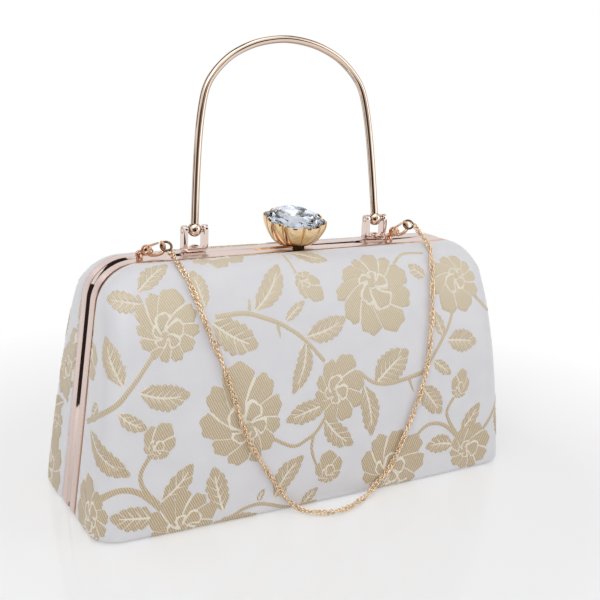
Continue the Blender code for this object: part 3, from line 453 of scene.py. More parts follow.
def ballAt(name, middle, radii, material, turned=Matrix.Identity(3), segments=40):
    bm = bmesh.new()
    bmesh.ops.create_uvsphere(bm, u_segments=segments, v_segments=segments // 2, radius=1.0)
    bm.transform(Matrix.Translation(middle) @ turned.to_4x4() @ Matrix.Diagonal((*radii, 1.0)))
    return smoothed(fromBmesh(name, bm, [material]))


def joined(name, parts, material, sharp):
    bm = bmesh.new()
    for part in parts:
        bm.from_mesh(part.data)
        bpy.data.objects.remove(part, do_unlink=True)
    whole = fromBmesh(name, bm, [material])
    whole.data.set_sharp_from_angle(angle=math.radians(sharp))
    return whole


def setOn(thing, body, slot, *replaced):
    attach(thing, body)
    if replaced:
        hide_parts(*replaced)


def thicken(thing, thick):
    solid = thing.modifiers.new("thickness", "SOLIDIFY")
    solid.thickness = thick
    solid.offset = -1
    applyModifiers(thing)


def gridFaces(rows, columns, closed=False):
    index = np.arange(rows * columns).reshape(rows, columns)
    if closed:
        index = np.hstack([index, index[:, :1]])
    return np.stack([index[:-1, :-1], index[:-1, 1:], index[1:, 1:], index[1:, :-1]], -1).reshape(-1, 4)


def loft(name, rings, materials, closed=False, capped=False, sharp=None):
    rings = np.asarray(rings, float)
    if closed:
        rings = np.concatenate([rings, rings[:1]])
    rows, columns = rings.shape[:2]
    faces = [tuple(f) for f in gridFaces(rows, columns, True)]
    if capped:
        faces += [tuple(range(columns)), tuple(range((rows - 1) * columns, rows * columns))]
    thing = makePiece(name, rings.reshape(-1, 3), faces, materials)
    tidyMesh(thing)
    return smoothed(thing, sharp)


# The cloth's surface: u runs across the bag and v up its middle, as on the flat cloth
def footInset(z):
    low = np.clip(bag["foot"] - z, 0, bag["foot"])
    return bag["foot"] - np.sqrt(np.maximum(bag["foot"] ** 2 - low ** 2, 0))


def halfWidth(z):
    taper = (bag["bottomWidth"] - bag["topWidth"]) / 2 * z / bag["height"]
    into = np.clip(z - (bag["height"] - bag["topCorner"]), 0, bag["topCorner"])
    cornerCut = bag["topCorner"] - np.sqrt(np.maximum(bag["topCorner"] ** 2 - into ** 2, 0))
    return bag["bottomWidth"] / 2 - taper - footInset(z) - cornerCut


def domeDepth(z):
    bulge = np.sqrt(np.maximum(1 - np.clip(z / bag["height"], 0, 1) ** bag["power"], 0))
    return bag["rim"] + (bag["depth"] - bag["rim"] - footInset(z)) * bulge


profileZ = bag["height"] * (1 - (1 - np.linspace(0, 1, 4001)) ** 2)
profileY = domeDepth(profileZ)
profileRun = np.concatenate([[0], np.cumsum(np.hypot(np.diff(profileZ), np.diff(profileY)))])
clothHigh = profileRun[-1]


def sectionAt(v):
    z = np.interp(v, profileRun, profileZ)
    depth = domeDepth(z)
    crown = bag["crown"] * (depth - bag["rim"]) / (bag["depth"] - bag["rim"])
    cornerY = np.minimum(bag["planCorner"], 0.8 * (depth - crown - bag["rim"]))
    flat = halfWidth(z) - bag["planCorner"]
    bend = np.pi / 2 * np.sqrt((bag["planCorner"] ** 2 + cornerY ** 2) / 2)
    side = depth - crown - cornerY - bag["rim"]
    return z, depth, crown, cornerY, flat, bend, side  # the last three make up the run from the middle


def clothReach(v):
    return sum(sectionAt(v)[4:])


def onCloth(u, v):
    z, depth, crown, cornerY, flat, bend, side = sectionAt(v)
    run = np.abs(u)
    angle = np.pi / 2 * (1 - np.clip((run - flat) / bend, 0, 1))
    past = np.clip(run - flat - bend, 0, side)
    x = np.where(run <= flat, run, flat + bag["planCorner"] * np.cos(angle))
    curved = depth - crown - cornerY * (1 - np.sin(angle)) - past
    y = np.where(run <= flat, depth - crown * (np.minimum(run, flat) / flat) ** 2, curved)
    return np.stack([np.sign(u) * x, y, z], -1)


def clothPoint(u, v, lift, side):
    # points on one half, raised by lift from the cloth; what runs past the rim stops under it
    u, v, lift = np.broadcast_arrays(np.asarray(u, float), np.asarray(v, float), np.asarray(lift, float))
    vIn = np.clip(v, 0, clothHigh)
    reach = clothReach(vIn)
    uIn = np.clip(u, -reach, reach)
    step = 0.2 * mm
    across = onCloth(np.minimum(uIn + step, reach), vIn) - onCloth(np.maximum(uIn - step, -reach), vIn)
    up = onCloth(uIn, np.minimum(vIn + step, clothHigh)) - onCloth(uIn, np.maximum(vIn - step, 0))
    normal = np.cross(up, across)
    normal /= np.maximum(np.linalg.norm(normal, axis=-1, keepdims=True), 1e-12)
    point = onCloth(uIn, vIn) + normal * lift[..., None]
    point[..., 1] = bag["seam"] + side * point[..., 1]
    return point


cushion = {
    "roll": 1.6 * mm, "tuck": 0.5 * mm, "uneven": 0.05 * mm,
    "broad": (17 * mm, 13 * mm), "small": (7 * mm, 9 * mm),  # wavelengths over 2 pi, across and up
}


def padding(u, v):
    # how the padded cloth lies against the bare form: rolled under at the rim, barely uneven
    gap = np.minimum(clothReach(np.clip(v, 0, clothHigh)) - np.abs(u), clothHigh - v)
    roll = np.clip(1 - gap / cushion["roll"], 0, 1)
    broad, small = cushion["broad"], cushion["small"]
    ripples = np.sin(u / broad[0] + 1.3) * np.sin(v / broad[1] + 0.4)
    ripples = ripples + 0.6 * np.sin(u / small[0] - v / small[1])
    return -cushion["tuck"] * roll ** 2 + cushion["uneven"] * ripples * (1 - roll)


def domeSkin(name, side, rows, columns, lift, skirt, material):
    # one half's cloth: up the front, round the sides to the rim, and in under the foot
    vRows = np.linspace(0, clothHigh, rows)
    shareRow = np.linspace(-1, 1, columns)
    v = np.repeat(vRows[:, None], columns, 1)
    u = shareRow[None, :] * clothReach(v)
    points = clothPoint(u, v, lift(u, v), side)
    rimY = bag["seam"] + side * (skirt if skirt is not None else bag["rim"])
    under = 8
    bottom = np.repeat(points[:1], under, 0)
    bottom[..., 1] += (rimY - bottom[..., 1]) * np.arange(under, 0, -1)[:, None] / under
    vBelow = -np.linspace(bag["depth"] - bag["rim"], 0, under, endpoint=False)
    cloth = np.stack([u, v], -1)
    low = np.stack([np.repeat(u[:1], under, 0), np.repeat(vBelow[:, None], columns, 1)], -1)
    points = np.concatenate([bottom, points])
    cloth = np.concatenate([low, cloth])
    if skirt is not None:
        top = points[-1:].copy()
        top[..., 1] = rimY
        points = np.concatenate([points, top])
        cloth = np.concatenate([cloth, cloth[-1:] + (0, bag["rim"])])
        left, right = points[:, :1].copy(), points[:, -1:].copy()
        left[..., 1] = right[..., 1] = rimY
        points = np.concatenate([left, points, right], 1)
        cloth = np.concatenate([cloth[:, :1] - (bag["rim"], 0), cloth, cloth[:, -1:] + (bag["rim"], 0)], 1)
    faces = gridFaces(*points.shape[:2])
    if side == back:
        faces = faces[:, ::-1]
    thing = makePiece(name, points.reshape(-1, 3), faces, [material], cloth.reshape(-1, 2))
    tidyMesh(thing, 2e-6, outward=False)
    return thing


# Brocade covers
print("stage: covers")
cover = {"rows": 120, "columns": 190, "thick": 1.0 * mm}
for word, side in halves:
    skin = domeSkin(word + "_brocade", side, cover["rows"], cover["columns"], padding, None, satinGround)
    thicken(skin, cover["thick"])
    setOn(skin, word + "_half", "brocade", word + "_cover")


# Woven flowers, drawn on the flat cloth in millimetres as (u, v) and then laid on the form
print("stage: woven flowers")
weave = {"raise": 0.2, "edge": -0.12, "under": 0.07, "gap": 0.34, "vein": 0.36}  # all in millimetres
flowers = (
    # middle, half width, half height, petals, turn of its heart in degrees
    ((-68.4, 85.6), 13.4, 14.6, 11, 250),
    ((-39.6, 46.8), 18.4, 21.0, 10, 300),
    ((26.8, 88.4), 19.0, 18.6, 10, 100),
    ((6.0, 51.2), 12.4, 14.4, 9, 200),
    ((69.6, 89.6), 12.4, 14.0, 9, 60),
    ((34.0, 14.4), 17.2, 15.6, 10, 240),
    ((77.6, 13.4), 12.0, 11.4, 9, 200),
    ((-64.8, 7.6), 14.4, 12.0, 11, 270),
    ((-41.2, 117.5), 15.0, 10.6, 9, 90),
    ((-107.2, 11.6), 12.0, 14.6, 8, 350),
    ((-113.0, 70.0), 11.0, 11.0, 8, 160),
    ((112.0, 44.0), 12.0, 13.0, 9, 20),
)
backFlowers = (((-107.0, 56.5), 10.0, 13.5, 9, 20), ((-104.0, 30.0), 8.0, 8.0, 7, 90))
buds = (
    # base, tip, half width
    ((-9.2, 100.8), (0.6, 88.6), 5.6),
    ((-77.8, 34.6), (-71.0, 48.4), 6.9),
    ((68.0, 37.8), (71.4, 51.4), 5.2),
    ((0.8, 10.6), (0.0, 25.0), 6.8),
    ((100.5, 74.0), (105.0, 86.0), 5.4),
)
leaves = (
    # base, tip, width, lobes a side
    ((-78.8, 98.4), (-62.4, 111.2), 7.5, 5), ((-77.2, 94.0), (-91.4, 95.6), 9.0, 5),
    ((-52.0, 89.2), (-54.0, 106.8), 8.5, 6), ((-51.0, 84.8), (-31.0, 72.8), 14.0, 5),
    ((-32.0, 86.4), (-16.0, 106.6), 10.0, 6), ((-18.8, 81.2), (-8.0, 89.4), 4.4, 4),
    ((-9.6, 74.0), (-17.2, 51.6), 8.0, 7), ((-10.4, 74.4), (10.8, 80.8), 10.0, 6),
    ((-82.8, 61.2), (-61.0, 58.0), 11.0, 7), ((-87.2, 62.8), (-93.6, 82.0), 10.0, 7),
    ((-90.8, 54.0), (-79.2, 46.6), 6.4, 4), ((0.4, 46.0), (-20.8, 40.8), 9.5, 6),
    ((-110.4, 43.0), (-86.0, 29.2), 10.0, 7), ((-74.8, 16.4), (-61.0, 30.4), 9.0, 4),
    ((-47.6, 6.6), (-52.4, 27.6), 10.0, 5), ((-75.6, 10.4), (-95.0, 13.2), 11.0, 5),
    ((-53.2, 2.2), (-32.0, 3.0), 8.0, 6), ((-25.6, 7.6), (-11.6, 25.4), 9.5, 6),
    ((-32.4, 8.0), (-29.6, 13.8), 3.0, 3), ((-12.4, 2.4), (-4.2, 9.6), 4.6, 4),
    ((61.6, 65.2), (79.4, 62.4), 11.0, 6), ((60.4, 66.0), (55.4, 79.4), 5.6, 4),
    ((53.6, 57.4), (64.4, 49.4), 5.8, 4), ((70.4, 21.2), (81.6, 34.2), 7.4, 4),
    ((68.0, 16.0), (51.0, 17.4), 9.0, 5), ((46.8, 47.2), (59.6, 32.0), 10.5, 6),
    ((22.0, 49.6), (41.2, 63.8), 14.5, 7), ((16.8, 52.4), (21.6, 27.6), 9.5, 6),
    ((-2.8, 40.4), (12.8, 25.4), 10.0, 5), ((-10.4, 114.0), (-31.6, 113.2), 4.4, 5),
    ((-8.4, 113.6), (8.0, 105.8), 7.0, 5), ((54.6, 93.6), (46.8, 100.6), 6.6, 4),
    ((-103.0, 88.0), (-112.0, 98.0), 8.0, 5), ((-101.0, 55.0), (-108.0, 46.0), 6.0, 4),
    ((98.0, 58.0), (107.0, 70.0), 8.0, 5), ((92.0, 30.0), (98.0, 14.0), 9.0, 6),
    ((90.0, 92.0), (97.0, 104.0), 8.0, 5), ((112.0, 22.0), (106.0, 6.0), 9.0, 5),
)
stems = (
    # points along the stem, width at its start and end
    (((-49.2, 86.4), (-36.4, 86.8), (-28.4, 84.4), (-19.6, 80.4), (-10.4, 73.6), (-1.0, 63.0)), 2.3, 1.9),
    (((-33.6, 86.8), (-32.8, 93.2)), 2.0, 0.4), (((-22.0, 81.6), (-21.2, 74.8)), 2.0, 0.4),
    (((-11.6, 112.4), (-9.2, 100.0)), 1.1, 1.4), (((-78.8, 98.4), (-77.2, 94.0)), 1.4, 1.7),
    (((-73.4, 76.8), (-84.8, 63.2), (-93.2, 54.8), (-114.4, 43.6)), 2.0, 2.4),
    (((-28.2, 35.8), (-17.2, 30.0), (-10.8, 31.6), (-5.2, 35.2), (1.4, 44.8)), 1.6, 1.8),
    (((-7.0, 34.4), (-8.0, 26.8), (-4.2, 17.2), (0.0, 13.0)), 1.6, 1.2),
    (((-78.0, 36.8), (-82.4, 29.6), (-81.2, 23.2), (-74.6, 15.0)), 1.8, 2.3),
    (((-99.4, 19.4), (-90.8, 24.0), (-82.8, 21.6), (-73.8, 13.0)), 2.8, 2.6),
    (((-52.0, 2.5), (-44.0, 4.5), (-38.4, 6.8), (-30.4, 7.2), (-16.4, 2.6), (-3.6, 3.0)), 1.5, 2.2),
    (((38.8, 101.0), (46.4, 106.0), (58.0, 105.6)), 1.5, 1.5),
    (((67.2, 80.4), (63.2, 71.2), (55.2, 60.4), (48.2, 52.2)), 1.7, 2.0),
    (((66.6, 39.4), (62.4, 32.4), (66.0, 24.8), (72.2, 16.6)), 1.7, 2.0),
    (((44.6, 23.0), (52.0, 28.0), (61.2, 26.4), (71.2, 17.8)), 1.7, 2.2),
    (((14.6, 57.6), (21.6, 52.0), (29.6, 50.0), (40.8, 51.2), (49.2, 52.8)), 1.6, 2.4),
    (((40.8, 51.2), (43.6, 43.8)), 2.0, 0.4),
    (((79.0, 84.0), (88.0, 76.0), (99.0, 73.0), (112.0, 57.0)), 1.8, 2.0),
    (((84.0, 20.0), (94.0, 32.0), (104.0, 38.0)), 1.8, 2.0),
    (((-103.0, 90.0), (-106.0, 82.0), (-110.0, 76.0)), 1.6, 1.6),
)
goldPick, creamPick = 0, 1


def polar(radius, angle):
    return np.stack([radius * np.cos(angle), radius * np.sin(angle)], -1)


def addPatch(drawn, flat, lift, pick):
    # adds a grid of cloth points (rows, columns, 2), turned so that it faces out
    a, b, c = flat[:-1, :-1], flat[:-1, 1:], flat[1:, :-1]
    turnWay = ((b - a)[..., 0] * (c - a)[..., 1] - (b - a)[..., 1] * (c - a)[..., 0]).sum()
    if turnWay < 0:
        flat, lift = flat[:, ::-1], lift[:, ::-1]
    drawn["points"].append(flat.reshape(-1, 2))
    drawn["lifts"].append(lift.ravel())
    faces = gridFaces(*flat.shape[:2]) + drawn["count"]
    drawn["faces"].append(faces)
    drawn["pick"].append(np.full(len(faces), pick))
    drawn["count"] += flat.shape[0] * flat.shape[1]


def pillow(rows, columns, high):
    # lift of a patch: its edges go into the cloth and its middle stands up
    a = np.minimum(np.arange(rows), np.arange(rows)[::-1])
    b = np.minimum(np.arange(columns), np.arange(columns)[::-1])
    ring = np.minimum(a[:, None], b[None, :])
    return np.where(ring == 0, weave["edge"], np.where(ring == 1, high * 0.85, high))


def alongCurve(points, count):
    points = np.array(points, float)
    ends = np.vstack([2 * points[0] - points[1], points, 2 * points[-1] - points[-2]])
    fine = []
    for a, b, c, d in zip(ends, ends[1:], ends[2:], ends[3:]):
        t = np.linspace(0, 1, 16, endpoint=False)[:, None]
        fine.append(0.5 * (2 * b + (c - a) * t + (2 * a - 5 * b + 4 * c - d) * t ** 2
                           + (3 * b - a - 3 * c + d) * t ** 3))
    fine = np.vstack(fine + [points[-1:]])
    run = np.concatenate([[0], np.cumsum(np.linalg.norm(np.diff(fine, axis=0), axis=1))])
    wanted = np.linspace(0, run[-1], count)
    return np.stack([np.interp(wanted, run, fine[:, k]) for k in range(points.shape[1])], -1)


def ribbon(drawn, line, halfWidths, high, pick):
    # a strip of thread along a line on the cloth
    way = np.gradient(line, axis=0)
    way /= np.maximum(np.linalg.norm(way, axis=1, keepdims=True), 1e-9)
    across = np.stack([-way[:, 1], way[:, 0]], -1)
    shares = np.array([-1, -0.7, 0, 0.7, 1]) if pick == goldPick else np.array([-1, 0, 1])
    flat = line[:, None, :] + across[:, None, :] * (halfWidths[:, None] * shares[None, :])[..., None]
    addPatch(drawn, flat, pillow(len(line), len(shares), high), pick)


def fan(drawn, heart, edge, fromShare, toShare, first, last, high, rng, swirl=0.0, pick=goldPick):
    # one petal between two directions, its outer edge waved, narrowed by the gap on each side
    t = np.array([0, 0.04, 0.3, 0.6, 0.84, 0.97, 1])[:, None]
    s = np.array([-1, -0.95, -0.8, -0.62, -0.44, -0.26, -0.09, 0.09, 0.26, 0.44, 0.62, 0.8, 0.95, 1])[None, :]
    middle, spread = (first + last) / 2, (last - first) / 2
    out = edge(middle + s * spread)
    wave = 1 - 0.17 * np.abs(s) ** 3 + 0.025 * np.cos(7.5 * s + rng.uniform(0, 6)) + 0.008 * np.cos(19 * s)
    near = out * fromShare * (1 + 0.12 * s ** 2)
    radius = near + (out * toShare * wave - near) * t
    narrowed = np.maximum(spread - weave["gap"] / 2 / np.maximum(radius, 0.5), spread * 0.25)
    way = middle + s * narrowed + swirl * (1 - t) ** 1.4
    addPatch(drawn, heart + polar(radius, way), pillow(*radius.shape, high), pick)


def drawFlower(drawn, middle, wide, tall, petals, heartTurn, rng, offset=0.3):
    way = math.radians(heartTurn)
    size = np.array([wide, tall])
    middle = np.array(middle)
    shift = offset * np.array([math.cos(way), math.sin(way)])
    heart = middle + shift * size

    def edge(angle):  # from the heart to the oval's edge
        d = np.stack([np.cos(angle) / wide, np.sin(angle) / tall], -1)
        a = (d ** 2).sum(-1)
        b = (d * shift).sum(-1)
        return (-b + np.sqrt(b ** 2 + a * (1 - (shift ** 2).sum()))) / a

    angles = np.linspace(0, 2 * np.pi, 37)
    rim = edge(angles)
    shares = np.linspace(0.02, 0.86, 9)[:, None]
    under = heart + polar(rim * shares, angles)
    addPatch(drawn, under, np.where(shares > 0.8, weave["edge"], weave["under"]) + 0 * rim, creamPick)
    cuts = np.linspace(0, 2 * np.pi, petals + 1)[:-1] + rng.uniform(-0.1, 0.1, petals) + way
    cuts = np.append(cuts, cuts[0] + 2 * np.pi)
    swirl = 0.5 * rng.choice((-1, 1))
    for first, last in zip(cuts, cuts[1:]):
        fan(drawn, heart, edge, 0.2, rng.uniform(0.93, 1.04), first, last, weave["raise"], rng, swirl)
        for share in (-0.32, 0.28):
            if rng.uniform() < 0.8:
                reach = np.linspace(rng.uniform(0.42, 0.5), rng.uniform(0.62, 0.78), 6)
                hook = np.linspace(1, 0, 6) ** 2 * rng.uniform(-0.25, 0.25)
                angle = (first + last) / 2 + share * (last - first) / 2 + hook + swirl * (1 - reach) ** 1.4
                line = heart + polar(edge(angle) * reach, angle)
                ribbon(drawn, line, np.linspace(weave["vein"] / 2, 0.1, 6), weave["raise"] + 0.1, creamPick)
    inner = max(4, petals // 2)
    cuts = np.linspace(0, 2 * np.pi, inner + 1) + way + 0.4
    for first, last in zip(cuts, cuts[1:]):
        size = rng.uniform(0.34, 0.52)
        off = rng.uniform(-0.12, 0.12)
        fan(drawn, heart, edge, 0.08, size + 0.03, first + off, last + off, weave["raise"] + 0.08, rng,
            swirl, creamPick)
        inset = 0.08 / max(size, 0.3)
        fan(drawn, heart, edge, 0.1, size - 0.015, first + off + inset, last + off - inset,
            weave["raise"] + 0.16, rng, swirl)
    small = min(wide, tall) * 0.11
    fan(drawn, heart, lambda angle: np.full_like(angle, small), 0.02, 1.0, 0, 2 * np.pi,
        weave["raise"] + 0.2, rng)


def drawBud(drawn, base, tip, halfWide, rng):
    base, tip = np.array(base), np.array(tip)
    middle, reach = (base + tip) / 2, np.linalg.norm(tip - base) / 2
    way = math.atan2(*(tip - base)[::-1])
    turn = np.array([[math.cos(way), math.sin(way)], [-math.sin(way), math.cos(way)]])
    start = len(drawn["points"])
    drawFlower(drawn, (0, 0), reach, halfWide, 7, 180, rng, offset=0.62)
    for k in range(start, len(drawn["points"])):
        drawn["points"][k] = middle + drawn["points"][k] @ turn


def drawLeaf(drawn, base, tip, width, lobes, rng):
    base, tip = np.array(base), np.array(tip)
    long = np.linalg.norm(tip - base)
    along = (tip - base) / long
    across = np.array([-along[1], along[0]])
    bend = rng.uniform(-0.09, 0.09) * long
    gap = min(0.46, 0.18 * long / lobes)

    def spine(t):
        return base + t[..., None] * along * long + (np.sin(np.pi * t) * bend)[..., None] * across

    def halfAt(t):
        return width / 2 * np.sin(np.pi * np.clip(t, 0, 1) ** 0.8) ** 0.65

    low, high, slant = 0.04, 0.80, 0.17
    t = np.linspace(low, high, 9)
    sideways = np.array([-1, -0.8, 0, 0.8, 1])[None, :, None]
    widths = (halfAt(t + slant * 0.6) * 0.7)[:, None, None]
    under = spine(t)[:, None, :] + across * widths * sideways + along * long * slant * 0.7 * np.abs(sideways)
    lift = np.where(np.abs(sideways[..., 0]) > 0.9, weave["edge"], weave["under"]) + 0 * t[:, None]
    addPatch(drawn, under, lift, creamPick)
    out = np.array([0, 0.05, 0.45, 0.8, 0.96, 1])[:, None]
    s = np.array([0, 0.05, 0.3, 0.5, 0.7, 0.95, 1])[None, :]
    step = (high - low) / lobes
    for hand in (-1, 1):
        for k in range(lobes):
            t = low + step * k + gap / 2 / long + s * (step - gap / long) + 0 * out
            reach = halfAt(t + slant * 0.6) * (1 - 0.2 * (2 * s - 1) ** 2) * rng.uniform(0.94, 1.06)
            reach = reach * (1 - 0.75 * np.clip((t - 0.5) / 0.3, 0, 1) ** 2)  # comes to a point
            root = spine(t) + hand * across * (gap / 2)
            end = spine(t + slant * (1 + 0.15 * s)) + hand * across * np.maximum(reach, gap)[..., None]
            flat = root + (end - root) * (out ** 0.9)[..., None]
            addPatch(drawn, flat, pillow(6, 7, weave["raise"]), goldPick)
    t = np.linspace(high - 0.02, 1.0, 7)
    widths = halfAt(np.full(7, high)) * 0.5 * np.linspace(1, 0, 7)
    ribbon(drawn, spine(t), np.maximum(widths, 0.05), weave["raise"], goldPick)
    t = np.linspace(-0.04, high, 12)
    ribbon(drawn, spine(t), np.linspace(0.36, 0.14, 12), 0.2, creamPick)


def drawStem(drawn, points, widthStart, widthEnd):
    long = np.linalg.norm(np.diff(np.array(points), axis=0), axis=1).sum()
    count = max(5, int(long / 1.6))
    widths = np.linspace(widthStart, widthEnd, count)
    ribbon(drawn, alongCurve(points, count), widths / 2, weave["raise"], goldPick)


for word, side in halves:
    rng = np.random.default_rng(7)
    drawn = {"points": [], "lifts": [], "faces": [], "pick": [], "count": 0}
    for points, widthStart, widthEnd in stems:
        drawStem(drawn, points, widthStart, widthEnd)
    for base, tip, width, lobes in leaves:
        drawLeaf(drawn, base, tip, width, lobes, rng)
    for base, tip, halfWide in buds:
        drawBud(drawn, base, tip, halfWide, rng)
    for middle, wide, tall, petals, heartTurn in flowers + (backFlowers if side == back else ()):
        drawFlower(drawn, middle, wide, tall, petals, heartTurn, rng)
    flat = np.vstack(drawn["points"]) * mm
    lifts = np.concatenate(drawn["lifts"]) * mm
    faces = np.vstack(drawn["faces"])
    pick = np.concatenate(drawn["pick"])
    u, v = flat.T
    vIn = np.clip(v, 0, clothHigh)
    outside = (np.abs(u) > clothReach(vIn) - fit) | (v > clothHigh - fit) | (v < 0)
    lifts = np.where(outside, -fit, lifts)
    keep = ~outside[faces].all(axis=1)
    used, faces = np.unique(faces[keep], return_inverse=True)
    faces = faces.reshape(-1, 4)
    if side == back:
        faces = faces[:, ::-1]
    points = clothPoint(u, v, lifts + padding(u, vIn), side)
    pattern = makePiece(word + "_flowers", points[used], faces, [goldThread, creamThread], flat[used],
                        pick[keep], sharp=60)
    setOn(pattern, word + "_half", "brocade")
    print("  ", pattern.name, len(pattern.data.polygons), "faces")


# Frame strips
print("stage: frame strips")
strip = {
    # (inset, distance from the seam): a soft crown outside and a bevel at the seam
    "section": ((0.44, 8.0), (0.22, 7.93), (0.07, 7.55), (0.02, 6.6), (0.0, 4.8), (0.0, 3.0), (0.03, 2.35),
                (0.1, 2.08), (0.2, 1.9), (0.9, 0.55), (0.98, 0.3), (1.08, 0.15), (1.2, 0.15), (1.2, 8.0)),
    "bevel": 2.1 * mm, "rimEdge": 7.5 * mm, "leastFoot": 0.3 * mm,
    "hingeHeight": 1.4 * mm, "hingeRoom": 2.0 * mm,
}


def frameLoop(inset):
    # the frame's outline at one inset, from the bottom right, over the top to the bottom left
    foot = max(bag["foot"] - inset, strip["leastFoot"])
    corner = bag["topCorner"] - inset
    slope = (bag["bottomWidth"] - bag["topWidth"]) / 2 / bag["height"]
    top = bag["height"] - inset
    low, high = np.linspace(0, np.pi / 2, 9), np.linspace(0, np.pi / 2, 25)
    side = [(inset + foot * (1 - np.cos(a)), foot * (1 - np.sin(a))) for a in low]
    side += [(z, 0.0) for z in np.linspace(inset + foot, top - corner, 12)[1:-1]]
    side += [(top - corner * (1 - np.sin(a)), corner * (1 - np.cos(a))) for a in high]
    points = [(bag["bottomWidth"] / 2 - inset - slope * z - cut, z) for z, cut in side]
    left = [(-x, z) for x, z in reversed(points)]
    reach = points[-1][0]
    middle = [(x, top) for x in np.linspace(reach, -reach, 14)[1:-1]]
    return points + middle + left


clasp = {
    "pivotY": -5 * mm, "pivotZ": 98 * mm, "tilt": 6, "leverWide": 4.8 * mm, "leverThick": 1.6 * mm,
    "cupY": -1 * mm, "cupZ": 104.6 * mm, "high": 10.9 * mm, "foot": 7.4 * mm, "rim": 12.7 * mm,
    "lean": 10, "lobes": 8, "turn": 12, "lobeDeep": 1.1 * mm, "hole": 2.3 * mm,
}


def stemRoom(low, high, travel=0.0):
    # a box round the clasp's stem, with clearance and the way it travels
    half, thick = clasp["leverWide"] / 2 + fit, clasp["leverThick"] / 2 + fit
    y = bag["seam"] + clasp["pivotY"]
    return boxAt("stem_room", (-half, y - thick, low), (half, y + thick + travel, high))


for word, side in halves:
    rings = []
    for inset, far in strip["section"]:
        y = bag["seam"] + side * far * mm
        rings.append([(x, y, z) for x, z in frameLoop(inset * mm)])
    band = loft(word + "_strip", rings, [satinMetal, mirrorMetal, yellowMetal], closed=True, sharp=28)
    for face in band.data.polygons:  # the bevel at the seam and the rim's edge are polished
        far = abs(face.center.y - bag["seam"])
        face.material_index = 1 if far < strip["bevel"] else 2 if far > strip["rimEdge"] else 0
    reach = bag["bottomWidth"] / 2 + mm
    axis = [(s * reach, bag["seam"], strip["hingeHeight"]) for s in (-1, 1)]
    carve(band, rodAt("hinge_room", *axis, strip["hingeRoom"]))
    if side == front:
        low, high = bag["height"] - 3 * mm, bag["height"] + 2 * mm
        travel = (high - clasp["pivotZ"]) * math.sin(math.radians(clasp["tilt"]))
        carve(band, stemRoom(low, high, travel))
    setOn(band, word + "_half", "satin_frame", word + "_frame")


# Lining, glued inside each shell
print("stage: linings")
lining = {
    "rows": 60, "columns": 96, "deep": 3.5 * mm, "skirt": 1.2 * mm, "thick": 0.4 * mm,
    "uneven": 0.06 * mm, "across": 5 * mm, "up": 11 * mm,
    "latch": (6.8 * mm, 9 * mm, 93 * mm, 104 * mm),  # half width, half depth, low and high of the opening
}


def sink(u, v):
    return -lining["deep"] + lining["uneven"] * np.sin(u / lining["across"]) * np.sin(v / lining["up"])


for word, side in halves:
    sunk = domeSkin(word + "_lining_satin", side, lining["rows"], lining["columns"], sink, lining["skirt"],
                    liningSatin)
    thicken(sunk, lining["thick"])
    half, deep, low, high = lining["latch"]
    carve(sunk, boxAt("latch_room", (-half, bag["seam"] - deep, low), (half, bag["seam"] + deep, high)))
    print("   lining area", round(sum(p.area for p in sunk.data.polygons) / 2, 5))
    setOn(sunk, word + "_half", "satin_lining", word + "_lining")


# Bow handle with its two balls
print("stage: handle")
handle = {
    "halfSpan": 44.25 * mm, "y": 4 * mm, "pivot": 112 * mm, "rise": 77.1 * mm, "tube": 1.6 * mm,
    "lean": 6.6, "ball": 2.9 * mm, "bore": 1.3 * mm,
    "shape": ((1.0, 0.0), (0.963, 0.3), (0.927, 0.51), (0.885, 0.655), (0.84, 0.742), (0.77, 0.806),
              (0.665, 0.868), (0.54, 0.92), (0.36, 0.966), (0.18, 0.991), (0.0, 1.0)),
}


def curveObject(name, points):
    curve = bpy.data.curves.new(name, "CURVE")
    curve.dimensions = "3D"
    spline = curve.splines.new("POLY")
    spline.points.add(len(points) - 1)
    for slot, point in zip(spline.points, points):
        slot.co = (*point, 1.0)
    return newObject(name + "_guide", curve)


def meshOf(name, guide):
    # a plain mesh of what a curve and its modifiers make; the curve goes
    bpy.context.view_layer.update()
    mesh = bpy.data.meshes.new_from_object(guide.evaluated_get(bpy.context.evaluated_depsgraph_get()))
    bpy.data.objects.remove(guide, do_unlink=True)
    mesh.name = name
    return newObject(name, mesh)


def roundWire(name, points, radius, material, closed=False, sides=6):
    guide = curveObject(name, points)
    curve, spline = guide.data, guide.data.splines[0]
    curve.bevel_depth = radius
    curve.bevel_resolution = sides
    curve.use_fill_caps = not closed
    spline.use_cyclic_u = closed
    spline.use_smooth = True
    thing = meshOf(name, guide)
    thing.data.materials.clear()
    thing.data.materials.append(material)
    tidyMesh(thing)
    return smoothed(thing, 50)


lean = math.radians(handle["lean"])
right = [(share * handle["halfSpan"], rise * handle["rise"]) for share, rise in handle["shape"]]
bow = right + [(-x, h) for x, h in reversed(right[:-1])]
route = [(x, bag["seam"] + handle["y"] + h * math.sin(lean), handle["pivot"] + h * math.cos(lean))
         for x, h in bow]
tube = roundWire("bow_tube", alongCurve(route, 150), handle["tube"], bowMetal)
parts = [tube]
for s in (-1, 1):
    middle = Vector((s * handle["halfSpan"], bag["seam"] + handle["y"], handle["pivot"]))
    ball = ballAt("bow_ball", middle, [handle["ball"]] * 3, bowMetal)
    reach = Vector((handle["ball"] + mm, 0, 0))
    for thing in (ball, tube):
        carve(thing, rodAt("bore", middle - reach, middle + reach, handle["bore"], 32))
    parts.append(ball)
setOn(joined("bow_handle", parts, bowMetal, 40), "handle", "polished_metal", "handle_bow")


# Stands and other fittings that keep their form, with their edges rounded
print("stage: fittings")


